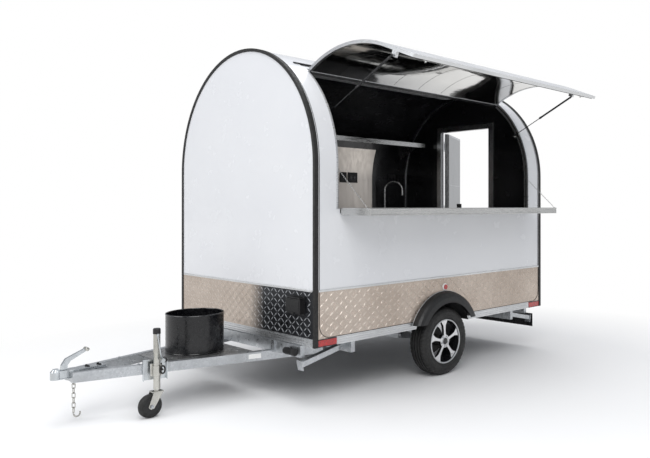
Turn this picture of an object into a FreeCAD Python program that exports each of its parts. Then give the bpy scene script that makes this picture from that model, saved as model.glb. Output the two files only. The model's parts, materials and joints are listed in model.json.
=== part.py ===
"""A small round-roofed concession trailer on one axle, parked on its jockey wheel.

Every size is in millimetres. The trailer is laid out with x = 0 on the front wall's outer face and +x
towards the coupler, y = 0 on the centre line and +y towards the serving side, z = 0 on the floor.
export() then moves every piece so that the origin is under the middle of the whole trailer.
"""
import FreeCAD
import Part
import math
import os
from FreeCAD import Vector

# Body
BODY_LENGTH = 3000.0
BODY_WIDTH = 2000.0
WALL = 45.0
FLOOR_BOTTOM = 450.0
FLOOR_THICK = 60.0
SPRING_HEIGHT = 1820.0
TRIM_THICK = 8.0
TRIM_FACE = 18.0
TRIM_SIDE = 26.0
SKIRT_HEIGHT = 358.0
SKIRT_THICK = 3.0
HALF = BODY_WIDTH / 2
REAR_X = -BODY_LENGTH
ARCH_RADIUS = HALF
INNER_RADIUS = ARCH_RADIUS - WALL
FLOOR_TOP = FLOOR_BOTTOM + FLOOR_THICK
SKIRT_TOP = FLOOR_TOP + SKIRT_HEIGHT

# Serving opening, canopy and shelf
PILLAR_WIDTH = 222.0
SILL_DROP = 332.0
SILL_HEIGHT = SPRING_HEIGHT - SILL_DROP
HINGE_ANGLE = 36.5
CANOPY_OPEN = 67.5
CANOPY_THICK = 24.0
CANOPY_GAP = 16.0
CANOPY_FRAME = 26.0
CANOPY_LIP = 2.0
LINING = 2.0
HINGE_PIN = 6.0
HINGE_STAND = 8.0
HINGE_KNUCKLES = 9
HINGE_LEAF = 3.0
HINGE_LEAF_ANGLE = 2.2
SHELF_DEPTH = 344.0
SHELF_TOP = SILL_HEIGHT + 7.0
SHELF_THICK = 56.0
SHELF_SHEET = 3.0
SHELF_GAP = 10.0
SHELF_PIN = 4.0
CANOPY_LOW = SHELF_TOP + 13.0
CHAIN_ANCHOR_Y = HALF - 22.0
CHAIN_ANCHOR_Z = SPRING_HEIGHT - 14.0
CHAIN_STUD = 11.0
OPEN_FRONT = -PILLAR_WIDTH
OPEN_REAR = REAR_X + PILLAR_WIDTH
CANOPY_FRONT = OPEN_FRONT - CANOPY_GAP
CANOPY_REAR = OPEN_REAR + CANOPY_GAP

# Gas struts: pin on the pillar by angle and depth in the arch, and pin on the closed canopy
STRUT_PILLAR_ANGLE = 63.163
STRUT_PILLAR_IN = 58.6
STRUT_CANOPY_PIN = (HALF - 64.0, SPRING_HEIGHT - 82.0)
STRUT_INSET = 36.0
STRUT_CYLINDER = 9.0
STRUT_ROD = 4.0
STRUT_STUD = 5.0
STRUT_BODY_LENGTH = 430.0

# Rear doorway and door
DOOR_WIDTH = 710.0
DOOR_TOP = SPRING_HEIGHT + 564.0
DOOR_SILL = FLOOR_TOP + 20.0
DOOR_THICK = 40.0
DOOR_GAP = 6.0
DOOR_PIN_OUT = 8.0
DOOR_PIN_RADIUS = 7.0
DOOR_OPEN = 118.0
DOOR_HANDLE_HEIGHT = 950.0
DOOR_EDGE = 62.0

# Wheels and axle
AXLE_X = -BODY_LENGTH / 2 + 54.0
TYRE_RADIUS = 300.0
TYRE_WIDTH = 185.0
WHEEL_FACE_Y = HALF + 35.0
RIM_RADIUS = 196.0
RIM_SPOKES = 5
RIM_LIP = 8.0
SPOKE_DEPTH = 26.0
HUB_RADIUS = 52.0
DISC_RADIUS = 120.0
ARCH_CUT = 385.0
FENDER_RADIUS = 447.0
FENDER_LIP = 350.0
FENDER_OUT = 84.0
FENDER_SHEET = 6.0
FENDER_BOTTOM = FLOOR_BOTTOM + 36.0
WHEEL_BOX_INNER_Y = HALF - 228.0
WHEEL_BOX_SHEET = 4.0
AXLE_TUBE = 60.0
AXLE_ARM = 146.0
AXLE_ARM_THICK = 40.0
AXLE_ARM_Y = WHEEL_BOX_INNER_Y - 172.0
AXLE_TUBE_Z = 326.0
SPINDLE_RADIUS = 15.0
RUNNING_CLEARANCE = 0.05

# Chassis and drawbar
CHASSIS_BOTTOM = FLOOR_BOTTOM - 90.0
RAIL_Y = HALF / 2
RAIL_WIDTH = 45.0
CROSS_WIDTH = 40.0
MEMBER_HALF = HALF - 20.0
SHORT_MEMBER_HALF = RAIL_Y + 130.0
FRONT_MEMBER_HALF = HALF - 152.0
BEAM_WIDTH = 60.0
BEAM_HEIGHT = 70.0
BEAM_NOSE = (1372.0, 49.0)
BEAM_TAIL = (-420.0, RAIL_Y + 38.0)
TONGUE_LENGTH = 250.0
COUPLER_X = 1455.0
SOCKET_RADIUS = 25.4
SOCKET_DEPTH = 42.0
COUPLER_WALL = 9.0
COUPLER_BOTTOM = CHASSIS_BOTTOM - 44.0
COUPLER_TOP = CHASSIS_BOTTOM + 14.0
COUPLER_HALF = 46.0
NECK_HALF = 30.0
PLATE_THICK = 5.0
PLATE_X = (120.0, 800.0)
RING_X = 420.0
RING_RADIUS = 222.0
RING_WALL = 3.0
RING_HEIGHT = 300.0

CHAIN_X = 1337.0
LINK_LENGTH = 48.0
LINK_WIDTH = 28.0
LINK_WIRE = 7.0
LINK_COUNT = 7

# Jockey wheel
JOCKEY_X = 880.0
JOCKEY_STANDOFF = 118.0
JOCKEY_PIVOT_Z = CHASSIS_BOTTOM - 30.0
JOCKEY_TUBE = 24.0
JOCKEY_BORE = 20.6
JOCKEY_LEG = 20.0
JOCKEY_TOP = CHASSIS_BOTTOM + 262.0
JOCKEY_WHEEL = 84.0
JOCKEY_WIDTH = 46.0
JOCKEY_TRAIL = 50.0
JOCKEY_LEG_LOW = 2 * JOCKEY_WHEEL + 16.0
JOCKEY_BOTTOM = JOCKEY_LEG_LOW + 15.0
JOCKEY_KINGPIN = 8.0
JOCKEY_BOLT = 6.0
CRANK_DROP = 205.0
CRANK_LEAN = 26.0

# Steady legs, folded up
STEADY_Y = HALF - 120.0
STEADY_PIVOT_Z = CHASSIS_BOTTOM + 42.0
STEADY_LENGTH = 400.0
STEADY_WIDTH = 50.0
STEADY_DEPTH = 40.0
STEADY_WALL = 4.0
STEADY_FOOT = 6.0
STEADY_PIN = 6.0
STEADY_DROOP = 12.0
STEADY_FRONT_X = -340.0
STEADY_REAR_X = REAR_X + 434.0
STEADY_ARM = 50.0

# Rear board, lamps and sockets
BOARD_HALF = HALF - 90.0
BOARD_LOW = CHASSIS_BOTTOM - 138.0
REFLECTOR_LENGTH = 178.0
TAIL_LAMP = (190.0, 86.0)
MARKER_RADIUS = 22.0
INLET = (165.0, 118.0, 34.0)

# Inside
BENCH_TOP = SILL_HEIGHT - 88.0
BENCH_LIP = 40.0
BENCH_SHEET = 4.0
RACK_HEIGHT = FLOOR_TOP + 255.0
RACK_LIP = 25.0
BENCH_DEPTH = 530.0
COUNTER_DEPTH = 350.0
BENCH_END = 55.0
SPLASH_HEIGHT = 60.0
LEG = 40.0
SINK = (330.0, 300.0, 170.0)
SINK_X = (REAR_X + 400.0, REAR_X + 800.0)
TAP_X = REAR_X + 480.0
TAP_Y = 120.0 - HALF
TAP_HEIGHT = 300.0
TAP_REACH = 105.0
TAP_TURN = 40.0
WALL_SHELF_Z = SPRING_HEIGHT + 442.0
WALL_SHELF_FRONT = 452.0 - HALF
WALL_SHELF_BACK = 80.0 - HALF
WALL_SHELF_LIP = 50.0
WALL_SHELF_SHEET = 6.0
GUSSET_DROP = 180.0
SOCKET_Z = SPRING_HEIGHT - 38.0
SOCKET_PLATES = ((1120.0, 96.0), (1000.0, 140.0), (360.0, 120.0), (200.0, 120.0))
SOCKET_TALL = 118.0
SOCKET_OUT = 12.0

X_AXIS, Y_AXIS, Z_AXIS = Vector(1, 0, 0), Vector(0, 1, 0), Vector(0, 0, 1)

nodes = {}


def box(x, y, z):
    """A block between two values on each axis."""
    return Part.makeBox(x[1] - x[0], y[1] - y[0], z[1] - z[0], Vector(x[0], y[0], z[0]))


def rod(start, end, radius):
    """A round bar from one point to another."""
    line = Vector(*end) - Vector(*start)
    return Part.makeCylinder(radius, line.Length, Vector(*start), line)


def fuse(*pieces):
    return pieces[0].multiFuse(list(pieces[1:])).removeSplitter() if len(pieces) > 1 else pieces[0]


def prism(points, along):
    """A flat outline of straight edges, pushed along a vector."""
    return Part.Face(Part.makePolygon([Vector(*p) for p in points + points[:1]])).extrude(Vector(*along))


def mirrored(shape):
    """The same piece on the other side of the trailer."""
    return shape.mirror(Vector(0, 0, 0), Y_AXIS)


def turned(shape, centre, axis, degrees):
    copy = shape.copy()
    copy.rotate(Vector(*centre), axis, degrees)
    return copy


def on_arch(radius, degrees):
    """A point of the roof's circle, at an angle from its top towards the serving side."""
    a = math.radians(degrees)
    return Vector(0, radius * math.sin(a), SPRING_HEIGHT + radius * math.cos(a))


def arc(radius, start, end):
    angles = (start, (start + end) / 2, end)
    return Part.Arc(*[on_arch(radius, a) for a in angles]).toShape()


def extruded(edges, x0, x1):
    """A closed outline in the plane across the trailer, pushed from x0 to x1."""
    face = Part.Face(Part.Wire(Part.__sortEdges__(edges)))
    solid = face.extrude(Vector(x1 - x0, 0, 0))
    solid.translate(Vector(x0, 0, 0))
    return solid


def arch_block(radius, bottom, x0, x1):
    """The solid with the trailer's round-topped outline at a radius."""
    a, b = Vector(0, -radius, bottom), Vector(0, radius, bottom)
    c, d = on_arch(radius, 90), on_arch(radius, -90)
    lines = [Part.makeLine(a, b), Part.makeLine(b, c), Part.makeLine(d, a)]
    return extruded(lines + [arc(radius, -90, 90)], x0, x1)


def arch_band(outer, inner, start, end, x0, x1):
    """A length of curved wall between two angles of the roof's circle."""
    ends = [Part.makeLine(on_arch(outer, a), on_arch(inner, a)) for a in (start, end)]
    return extruded([arc(outer, start, end), arc(inner, start, end)] + ends, x0, x1)


def side_band(outer, inner, start, bottom, x0, x1):
    """Curved wall from an angle down to the spring line, and on down as a flat wall."""
    flat = box((min(x0, x1), max(x0, x1)), (inner, outer), (bottom, SPRING_HEIGHT))
    return fuse(arch_band(outer, inner, start, 90, x0, x1), flat)


def ring(centre_x, centre_z, outer, inner, y0, y1):
    """A ring round an axle that runs across the trailer."""
    start = Vector(centre_x, y0, centre_z)
    whole = Part.makeCylinder(outer, y1 - y0, start, Y_AXIS)
    return whole.cut(Part.makeCylinder(inner, y1 - y0, start, Y_AXIS)) if inner else whole


def revolved(profile, x, z):
    """A profile of (radius, y) points turned round the axle at x, z."""
    points = [Vector(x + r, y, z) for r, y in profile]
    face = Part.Face(Part.makePolygon(points + points[:1]))
    return face.revolve(Vector(x, 0, z), Y_AXIS, 360)


def body_shell():
    """Front and rear walls, side walls, pillars and roof, which meet face to face."""
    front = arch_block(ARCH_RADIUS, FLOOR_TOP, -WALL, 0)
    rear = arch_block(ARCH_RADIUS, FLOOR_TOP, REAR_X, REAR_X + WALL)
    through = (REAR_X - 1, REAR_X + WALL + 1)
    doorway = box(through, (-DOOR_WIDTH / 2, DOOR_WIDTH / 2), (DOOR_SILL, DOOR_TOP))
    inside = (REAR_X + WALL, -WALL)
    wheel_hole = ring(AXLE_X, TYRE_RADIUS, ARCH_CUT, 0, HALF - WALL - 1, HALF + 1)
    left = box(inside, (HALF - WALL, HALF), (FLOOR_TOP, SILL_HEIGHT)).cut(wheel_hole)
    right = mirrored(box(inside, (HALF - WALL, HALF), (FLOOR_TOP, SPRING_HEIGHT)).cut(wheel_hole))
    pillars = [side_band(ARCH_RADIUS, INNER_RADIUS, HINGE_ANGLE, SILL_HEIGHT, x0, x1)
               for x0, x1 in ((OPEN_FRONT, -WALL), (REAR_X + WALL, OPEN_REAR))]
    nodes["front_wall"] = front
    nodes["rear_wall"] = rear.cut(doorway)
    nodes["left_wall"] = left
    nodes["right_wall"] = right
    nodes["opening_pillars"] = Part.makeCompound(pillars)
    nodes["roof"] = arch_band(ARCH_RADIUS, INNER_RADIUS, -90, HINGE_ANGLE, *inside)


def edge_trims():
    """The black angle that follows each arch's corner, one at each end."""
    made = []
    for face_x, sign in ((0.0, 1), (REAR_X, -1)):
        outer = face_x + sign * TRIM_THICK
        inner = face_x - sign * TRIM_SIDE
        cover = arch_block(ARCH_RADIUS + TRIM_THICK, FLOOR_BOTTOM, *sorted((outer, inner)))
        core = arch_block(ARCH_RADIUS, FLOOR_BOTTOM - 1, *sorted((inner - sign, face_x)))
        whole = sorted((inner - sign, outer + sign))
        middle = arch_block(ARCH_RADIUS - TRIM_FACE, FLOOR_BOTTOM - 1, *whole)
        made.append(cover.cut(core).cut(middle))
    nodes["corner_trims"] = Part.makeCompound(made)


def floor_and_rails():
    """The floor panel and the rail round its edge."""
    hole = ring(AXLE_X, TYRE_RADIUS, ARCH_CUT, 0, WHEEL_BOX_INNER_Y, HALF + 1)
    inner_y = HALF - WALL
    floor = box((REAR_X + WALL, -WALL), (-inner_y, inner_y), (FLOOR_BOTTOM, FLOOR_TOP))
    nodes["floor_panel"] = floor.cut(hole).cut(mirrored(hole))
    front = box((-WALL, 0), (-HALF, HALF), (FLOOR_BOTTOM, FLOOR_TOP))
    rear = box((REAR_X, REAR_X + WALL), (-HALF, HALF), (FLOOR_BOTTOM, FLOOR_TOP))
    side = box((REAR_X + WALL, -WALL), (inner_y, HALF), (FLOOR_BOTTOM, FLOOR_TOP)).cut(hole)
    nodes["bottom_rails"] = Part.makeCompound([front, rear] + side.Solids + mirrored(side).Solids)


def skirt():
    """Tread plate over the lower walls: a plate down each side, one in front, two beside the doorway."""
    low = FLOOR_TOP + 2
    inset = TRIM_SIDE + 4
    x0, x1 = REAR_X + inset, -inset
    side = box((x0, x1), (HALF, HALF + SKIRT_THICK), (low, SKIRT_TOP))
    side = side.cut(ring(AXLE_X, TYRE_RADIUS, FENDER_RADIUS, 0, HALF - 1, HALF + SKIRT_THICK + 1))
    half = HALF - TRIM_FACE - 2
    front = box((0, SKIRT_THICK), (-half, half), (low, SKIRT_TOP))
    door_edge = DOOR_WIDTH / 2 + 60
    back = box((REAR_X - SKIRT_THICK, REAR_X), (door_edge, half), (low, SKIRT_TOP))
    ends = [front, back, mirrored(back)]
    nodes["skirt_plates"] = Part.makeCompound(side.Solids + mirrored(side).Solids + ends)


def fenders():
    """The flared black mudguards, shells turned round the axle, with the wheel boxes behind them."""
    lip = HALF + FENDER_OUT
    bend = ((0, 0), (2, 0.33), (11, 0.62), (27, 0.83), (51, 0.95))
    outer = [(FENDER_RADIUS - drop, HALF + share * FENDER_OUT) for drop, share in bend]
    inner = [(r - FENDER_SHEET, y - FENDER_SHEET * (y - HALF) / FENDER_OUT) for r, y in outer[1:]]
    rim = [(FENDER_LIP, lip), (FENDER_LIP, lip - FENDER_SHEET)]
    flange = HALF + FENDER_SHEET
    root = [(FENDER_RADIUS - FENDER_SHEET, flange), (ARCH_CUT, flange), (ARCH_CUT, HALF)]
    profile = outer + rim + inner[::-1] + root
    flare = revolved(profile, AXLE_X, TYRE_RADIUS)
    reach = (AXLE_X - FENDER_RADIUS - 1, AXLE_X + FENDER_RADIUS + 1)
    top = TYRE_RADIUS + FENDER_RADIUS + 1
    flare = flare.common(box(reach, (HALF - 1, lip + 1), (FENDER_BOTTOM, top)))
    sheet = WHEEL_BOX_SHEET
    tunnel = ring(AXLE_X, TYRE_RADIUS, ARCH_CUT, ARCH_CUT - sheet, WHEEL_BOX_INNER_Y, HALF)
    end = ring(AXLE_X, TYRE_RADIUS, ARCH_CUT, 0, WHEEL_BOX_INNER_Y, WHEEL_BOX_INNER_Y + sheet)
    above = box(reach, (0, HALF + 1), (FLOOR_BOTTOM, top))
    housing = fuse(tunnel, end).common(above)
    nodes["fenders"] = Part.makeCompound([flare, mirrored(flare)])
    nodes["wheel_boxes"] = Part.makeCompound([housing, mirrored(housing)])


def wheel(name, flip):
    """Tyre, five-spoke rim and hub with its brake disc."""
    y1 = WHEEL_FACE_Y
    y0 = y1 - TYRE_WIDTH
    r = TYRE_RADIUS
    bead = RIM_RADIUS
    tyre = [(bead, y0 + 12), (bead + 40, y0 + 1), (r - 30, y0 + 4), (r - 7, y0 + 16), (r, y0 + 34),
            (r, y1 - 34), (r - 7, y1 - 16), (r - 30, y1 - 4), (bead + 40, y1 - 1), (bead, y1 - 12)]
    nodes["tyre_" + name] = flip(revolved(tyre, AXLE_X, r))
    edge = bead - RIM_LIP
    barrel = [(bead, y0 + 6), (bead, y1 - 6), (edge, y1 - 6), (edge - 6, y1 - 24), (edge - 14, y1 - 50),
              (edge - 14, y0 + 30), (edge, y0 + 6)]
    rim = revolved(barrel, AXLE_X, r)
    face_y = y1 - 14
    reach = edge - 4
    waist = [(44, 13), (reach * 0.54, 11), (reach * 0.76, 16), (reach * 0.93, 34), (reach, 46)]
    outline = waist + [(a, -b) for a, b in waist[::-1]]
    spokes = []
    for k in range(RIM_SPOKES):
        points = [(AXLE_X + a, face_y - SPOKE_DEPTH, r + b) for a, b in outline]
        spoke = prism(points, (0, SPOKE_DEPTH, 0))
        spokes.append(turned(spoke, (AXLE_X, 0, r), Y_AXIS, -87 - 360.0 / RIM_SPOKES * k))
    centre = ring(AXLE_X, r, HUB_RADIUS + 6, 0, face_y - 40, face_y - 2)
    nodes["rim_" + name] = flip(fuse(rim, centre, *spokes))
    hub = ring(AXLE_X, r, HUB_RADIUS, 0, face_y - 190, face_y - 40)
    disc = ring(AXLE_X, r, DISC_RADIUS, 0, face_y - 150, face_y - 140)
    bore = ring(AXLE_X, r, SPINDLE_RADIUS + RUNNING_CLEARANCE, 0, face_y - 191, face_y - 60)
    nodes["hub_" + name] = flip(fuse(hub, disc).cut(bore))


def axle():
    """Torsion axle: square tube, trailing arms, spindles and the brake calipers."""
    tube_x = AXLE_X + AXLE_ARM
    half = AXLE_TUBE / 2
    arm_y = (AXLE_ARM_Y, AXLE_ARM_Y + AXLE_ARM_THICK)
    top = AXLE_TUBE_Z + half
    tube = box((tube_x - half, tube_x + half), (-arm_y[0], arm_y[0]), (top - AXLE_TUBE, top))
    pads = [box((tube_x - 70, tube_x + 70), (s * RAIL_Y - 40, s * RAIL_Y + 40), (top - 1, CHASSIS_BOTTOM))
            for s in (-1, 1)]
    arm = prism([(AXLE_X, arm_y[0], TYRE_RADIUS - 24), (tube_x, arm_y[0], AXLE_TUBE_Z - 30),
                 (tube_x, arm_y[0], AXLE_TUBE_Z + 30), (AXLE_X, arm_y[0], TYRE_RADIUS + 24)],
                (0, AXLE_ARM_THICK, 0))
    ends = [ring(AXLE_X, TYRE_RADIUS, 24, 0, *arm_y), ring(tube_x, AXLE_TUBE_Z, 30, 0, *arm_y)]
    face_y = WHEEL_FACE_Y - 14
    spindle = ring(AXLE_X, TYRE_RADIUS, SPINDLE_RADIUS, 0, arm_y[1] - 1, face_y - 62)
    disc_y = face_y - 145
    slot = ring(AXLE_X, TYRE_RADIUS, DISC_RADIUS + 5, 0, disc_y - 9, disc_y + 9)
    caliper = box((AXLE_X + 62, AXLE_X + 118), (arm_y[0] + 4, disc_y + 34),
                  (TYRE_RADIUS + 58, TYRE_RADIUS + 112))
    stay = box((AXLE_X + 62, AXLE_X + 82), (arm_y[0] + 4, arm_y[1]), (TYRE_RADIUS, TYRE_RADIUS + 60))
    side = fuse(arm, *ends, spindle, caliper.cut(slot), stay)
    nodes["axle"] = fuse(tube, *pads, side, mirrored(side))


def beam_y(x):
    """Where the drawbar beam's centre line runs at a place along the trailer."""
    (x0, y0), (x1, y1) = BEAM_NOSE, BEAM_TAIL
    return y0 + (y1 - y0) * (x - x0) / (x1 - x0)


BEAM_SLOPE = math.atan2(BEAM_TAIL[1] - BEAM_NOSE[1], BEAM_NOSE[0] - BEAM_TAIL[0])
BEAM_HALF_Y = BEAM_WIDTH / 2 / math.cos(BEAM_SLOPE)
BEAM_BOTTOM = CHASSIS_BOTTOM - BEAM_HEIGHT


def drawbar():
    """The A-frame's two beams, the coupler, the tread plate between the beams and the gas bottle ring."""
    xs = (BEAM_NOSE[0], BEAM_TAIL[0])
    nose_half = beam_y(xs[0]) - BEAM_HALF_Y + 16
    sides = [(xs[0], nose_half), (xs[1], beam_y(xs[1]) - BEAM_HALF_Y), (xs[1], beam_y(xs[1]) + BEAM_HALF_Y),
             (xs[0], beam_y(xs[0]) + BEAM_HALF_Y)]
    beam = prism([(x, y, BEAM_BOTTOM) for x, y in sides], (0, 0, BEAM_HEIGHT))
    tongue_x = (xs[0] - TONGUE_LENGTH, xs[0])
    tongue = box(tongue_x, (-COUPLER_HALF, COUPLER_HALF), (BEAM_BOTTOM + 4, CHASSIS_BOTTOM))
    nodes["drawbar_beams"] = fuse(beam, mirrored(beam), tongue)
    x0, x1 = PLATE_X
    top = CHASSIS_BOTTOM
    gap = BEAM_HALF_Y
    edge = [(x0, beam_y(x0) - gap), (x1, beam_y(x1) - gap), (x1, gap - beam_y(x1)), (x0, gap - beam_y(x0))]
    nodes["drawbar_plate"] = prism([(x, y, top - PLATE_THICK) for x, y in edge], (0, 0, PLATE_THICK))
    base = Vector(RING_X, 0, top)
    drum = Part.makeCylinder(RING_RADIUS, RING_HEIGHT, base)
    hollow = Part.makeCylinder(RING_RADIUS - RING_WALL, RING_HEIGHT, base + Vector(0, 0, RING_WALL))
    nodes["gas_bottle_ring"] = drum.cut(hollow)


def coupler():
    """Ball coupler with its socket open below, and the locking lever."""
    top = COUPLER_TOP
    centre = Vector(COUPLER_X, 0, COUPLER_BOTTOM)
    outer = SOCKET_RADIUS + COUPLER_WALL
    nose = BEAM_NOSE[0]
    head = Part.makeCylinder(outer, top - 6 - COUPLER_BOTTOM, centre)
    dome = Part.makeCone(outer, outer * 0.55, 20, Vector(COUPLER_X, 0, top - 6))
    neck = box((nose + 1, COUPLER_X), (-NECK_HALF, NECK_HALF), (COUPLER_BOTTOM + 4, top))
    wide = COUPLER_HALF - 6
    edge = [(nose - TONGUE_LENGTH + 8, wide), (nose - 20, wide), (nose + 2, NECK_HALF)]
    plan = edge + [(x, -y) for x, y in edge[::-1]]
    cover = prism([(x, y, CHASSIS_BOTTOM) for x, y in plan], (0, 0, top - CHASSIS_BOTTOM))
    wide = NECK_HALF + 6
    flange = box((nose + 1, COUPLER_X), (-wide, wide), (COUPLER_BOTTOM, COUPLER_BOTTOM + 6))
    socket = Part.makeCylinder(SOCKET_RADIUS, SOCKET_DEPTH, centre)
    nodes["coupler"] = fuse(head, dome, neck, cover, flange).cut(socket)
    foot = nose + 34
    shape = [(18, 0), (14, 34), (-14, 76), (-150, 132), (-158, 114), (-46, 58), (-26, 30), (-24, 0)]
    plate = prism([(foot + a, -12, top + b) for a, b in shape], (0, 24, 0))
    grip = rod((foot - 154, -22, top + 123), (foot - 154, 22, top + 123), 12)
    nodes["coupler_lever"] = fuse(plate, grip)


def oval(x, z, outer, half_wide, across, wire):
    """A flat link's outline with round ends, square to an axis."""
    start = Vector(x, 0, z) - across * (wire / 2)
    ends = [Part.makeCylinder(half_wide, wire, start + Vector(0, 0, s * outer), across) for s in (-1, 1)]
    a, b = (wire / 2, half_wide) if across == X_AXIS else (half_wide, wire / 2)
    return fuse(box((x - a, x + a), (-b, b), (z - outer, z + outer)), *ends)


def safety_chain():
    """Hanging chain: flat links, turned a quarter each time, that hang free of each other."""
    top = BEAM_BOTTOM
    eye_z = top - 24
    lug = box((CHAIN_X - 4, CHAIN_X + 4), (-14, 14), (top - 34, top + 4))
    made = [lug.cut(rod((CHAIN_X - 9, 0, eye_z), (CHAIN_X + 9, 0, eye_z), 6))]
    straight = (LINK_LENGTH - LINK_WIDTH) / 2
    pitch = LINK_LENGTH - 2 * LINK_WIRE - 1
    for k in range(LINK_COUNT):
        z = eye_z - 3 - pitch * (k + 0.5)
        across = Y_AXIS if k % 2 == 0 else X_AXIS
        outside = oval(CHAIN_X, z, straight, LINK_WIDTH / 2, across, LINK_WIRE)
        inside = oval(CHAIN_X, z, straight, LINK_WIDTH / 2 - LINK_WIRE, across, LINK_WIRE + 2)
        made.append(outside.cut(inside))
    nodes["safety_chain"] = Part.makeCompound(made)


def steady_bracket(arm, x, sign):
    """An outrigger with the two plates and the pin that carry a steady leg."""
    pivot = x + sign * STEADY_ARM
    inner, outer = STEADY_Y - STEADY_WIDTH / 2 - 9, STEADY_Y + STEADY_WIDTH / 2 + 3
    plates = [box(sorted((x, pivot + sign * 20)), (y, y + 6), (STEADY_PIVOT_Z - 22, FLOOR_BOTTOM))
              for y in (inner, outer)]
    pin = rod((pivot, inner, STEADY_PIVOT_Z), (pivot, outer + 6, STEADY_PIVOT_Z), STEADY_PIN)
    return fuse(arm, *plates, pin)


def chassis():
    """Two long rails, the members between and outside them, and the steady legs' brackets."""
    z = (CHASSIS_BOTTOM, FLOOR_BOTTOM)
    half = RAIL_WIDTH / 2
    rails = [box((REAR_X + 30, 30.0), (s * RAIL_Y - half, s * RAIL_Y + half), z) for s in (-1, 1)]
    nodes["chassis_rails"] = Part.makeCompound(rails)
    members = [(0.0, FRONT_MEMBER_HALF, 0), (STEADY_FRONT_X - STEADY_ARM, MEMBER_HALF, 1),
               (REAR_X / 3, SHORT_MEMBER_HALF, 0), (REAR_X + 1100, SHORT_MEMBER_HALF, 0),
               (STEADY_REAR_X + STEADY_ARM, MEMBER_HALF, -1), (REAR_X + 50, FRONT_MEMBER_HALF, 0)]
    made = []
    for x, reach, sign in members:
        span = (x - CROSS_WIDTH / 2, x + CROSS_WIDTH / 2)
        made.append(box(span, (half - RAIL_Y, RAIL_Y - half), z))
        arm = box(span, (RAIL_Y + half, reach), z)
        if sign:
            arm = steady_bracket(arm, x, sign)
        made += [arm, mirrored(arm)]
    nodes["chassis_members"] = Part.makeCompound(made)


def steady(name, x, sign, flip):
    """A folded steady leg: channel, foot plate and the eye on its pivot."""
    half = STEADY_WIDTH / 2
    y = (STEADY_Y - half, STEADY_Y + half)
    low, high = STEADY_PIVOT_Z - STEADY_DEPTH / 2, STEADY_PIVOT_Z + STEADY_DEPTH / 2
    end = x + sign * STEADY_LENGTH
    heel = end - sign * STEADY_FOOT
    leg = box(sorted((x, end)), y, (low, high))
    wall = STEADY_WALL
    hollow = box(sorted((x + sign * 24, heel)), (y[0] + wall, y[1] - wall), (low - 1, high - wall))
    eye = ring(x, STEADY_PIVOT_Z, STEADY_DEPTH / 2, 0, *y)
    foot = box(sorted((heel, end)), (y[0] - 8, y[1] + 8), (low - 25, high + 13))
    hole = ring(x, STEADY_PIVOT_Z, STEADY_PIN + RUNNING_CLEARANCE, 0, y[0] - 1, y[1] + 1)
    whole = fuse(leg, eye, foot).cut(hollow).cut(hole)
    nodes["steady_" + name] = flip(turned(whole, (x, 0, STEADY_PIVOT_Z), Y_AXIS, sign * STEADY_DROOP))


JOCKEY_Y = beam_y(JOCKEY_X) + JOCKEY_STANDOFF


def along_beam(x_off, out, z):
    """A point by the jockey: distance along the beam, distance out from the tube's axis, height."""
    c, s = math.cos(BEAM_SLOPE), math.sin(BEAM_SLOPE)
    return (JOCKEY_X + x_off * c + out * s, JOCKEY_Y - x_off * s + out * c, z)


def beam_block(along, out, z):
    """A block square to the beam, by the jockey tube."""
    places = ((along[0], out[0]), (along[1], out[0]), (along[1], out[1]), (along[0], out[1]))
    return prism([along_beam(a, o, z[0]) for a, o in places], (0, 0, z[1] - z[0]))


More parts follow.
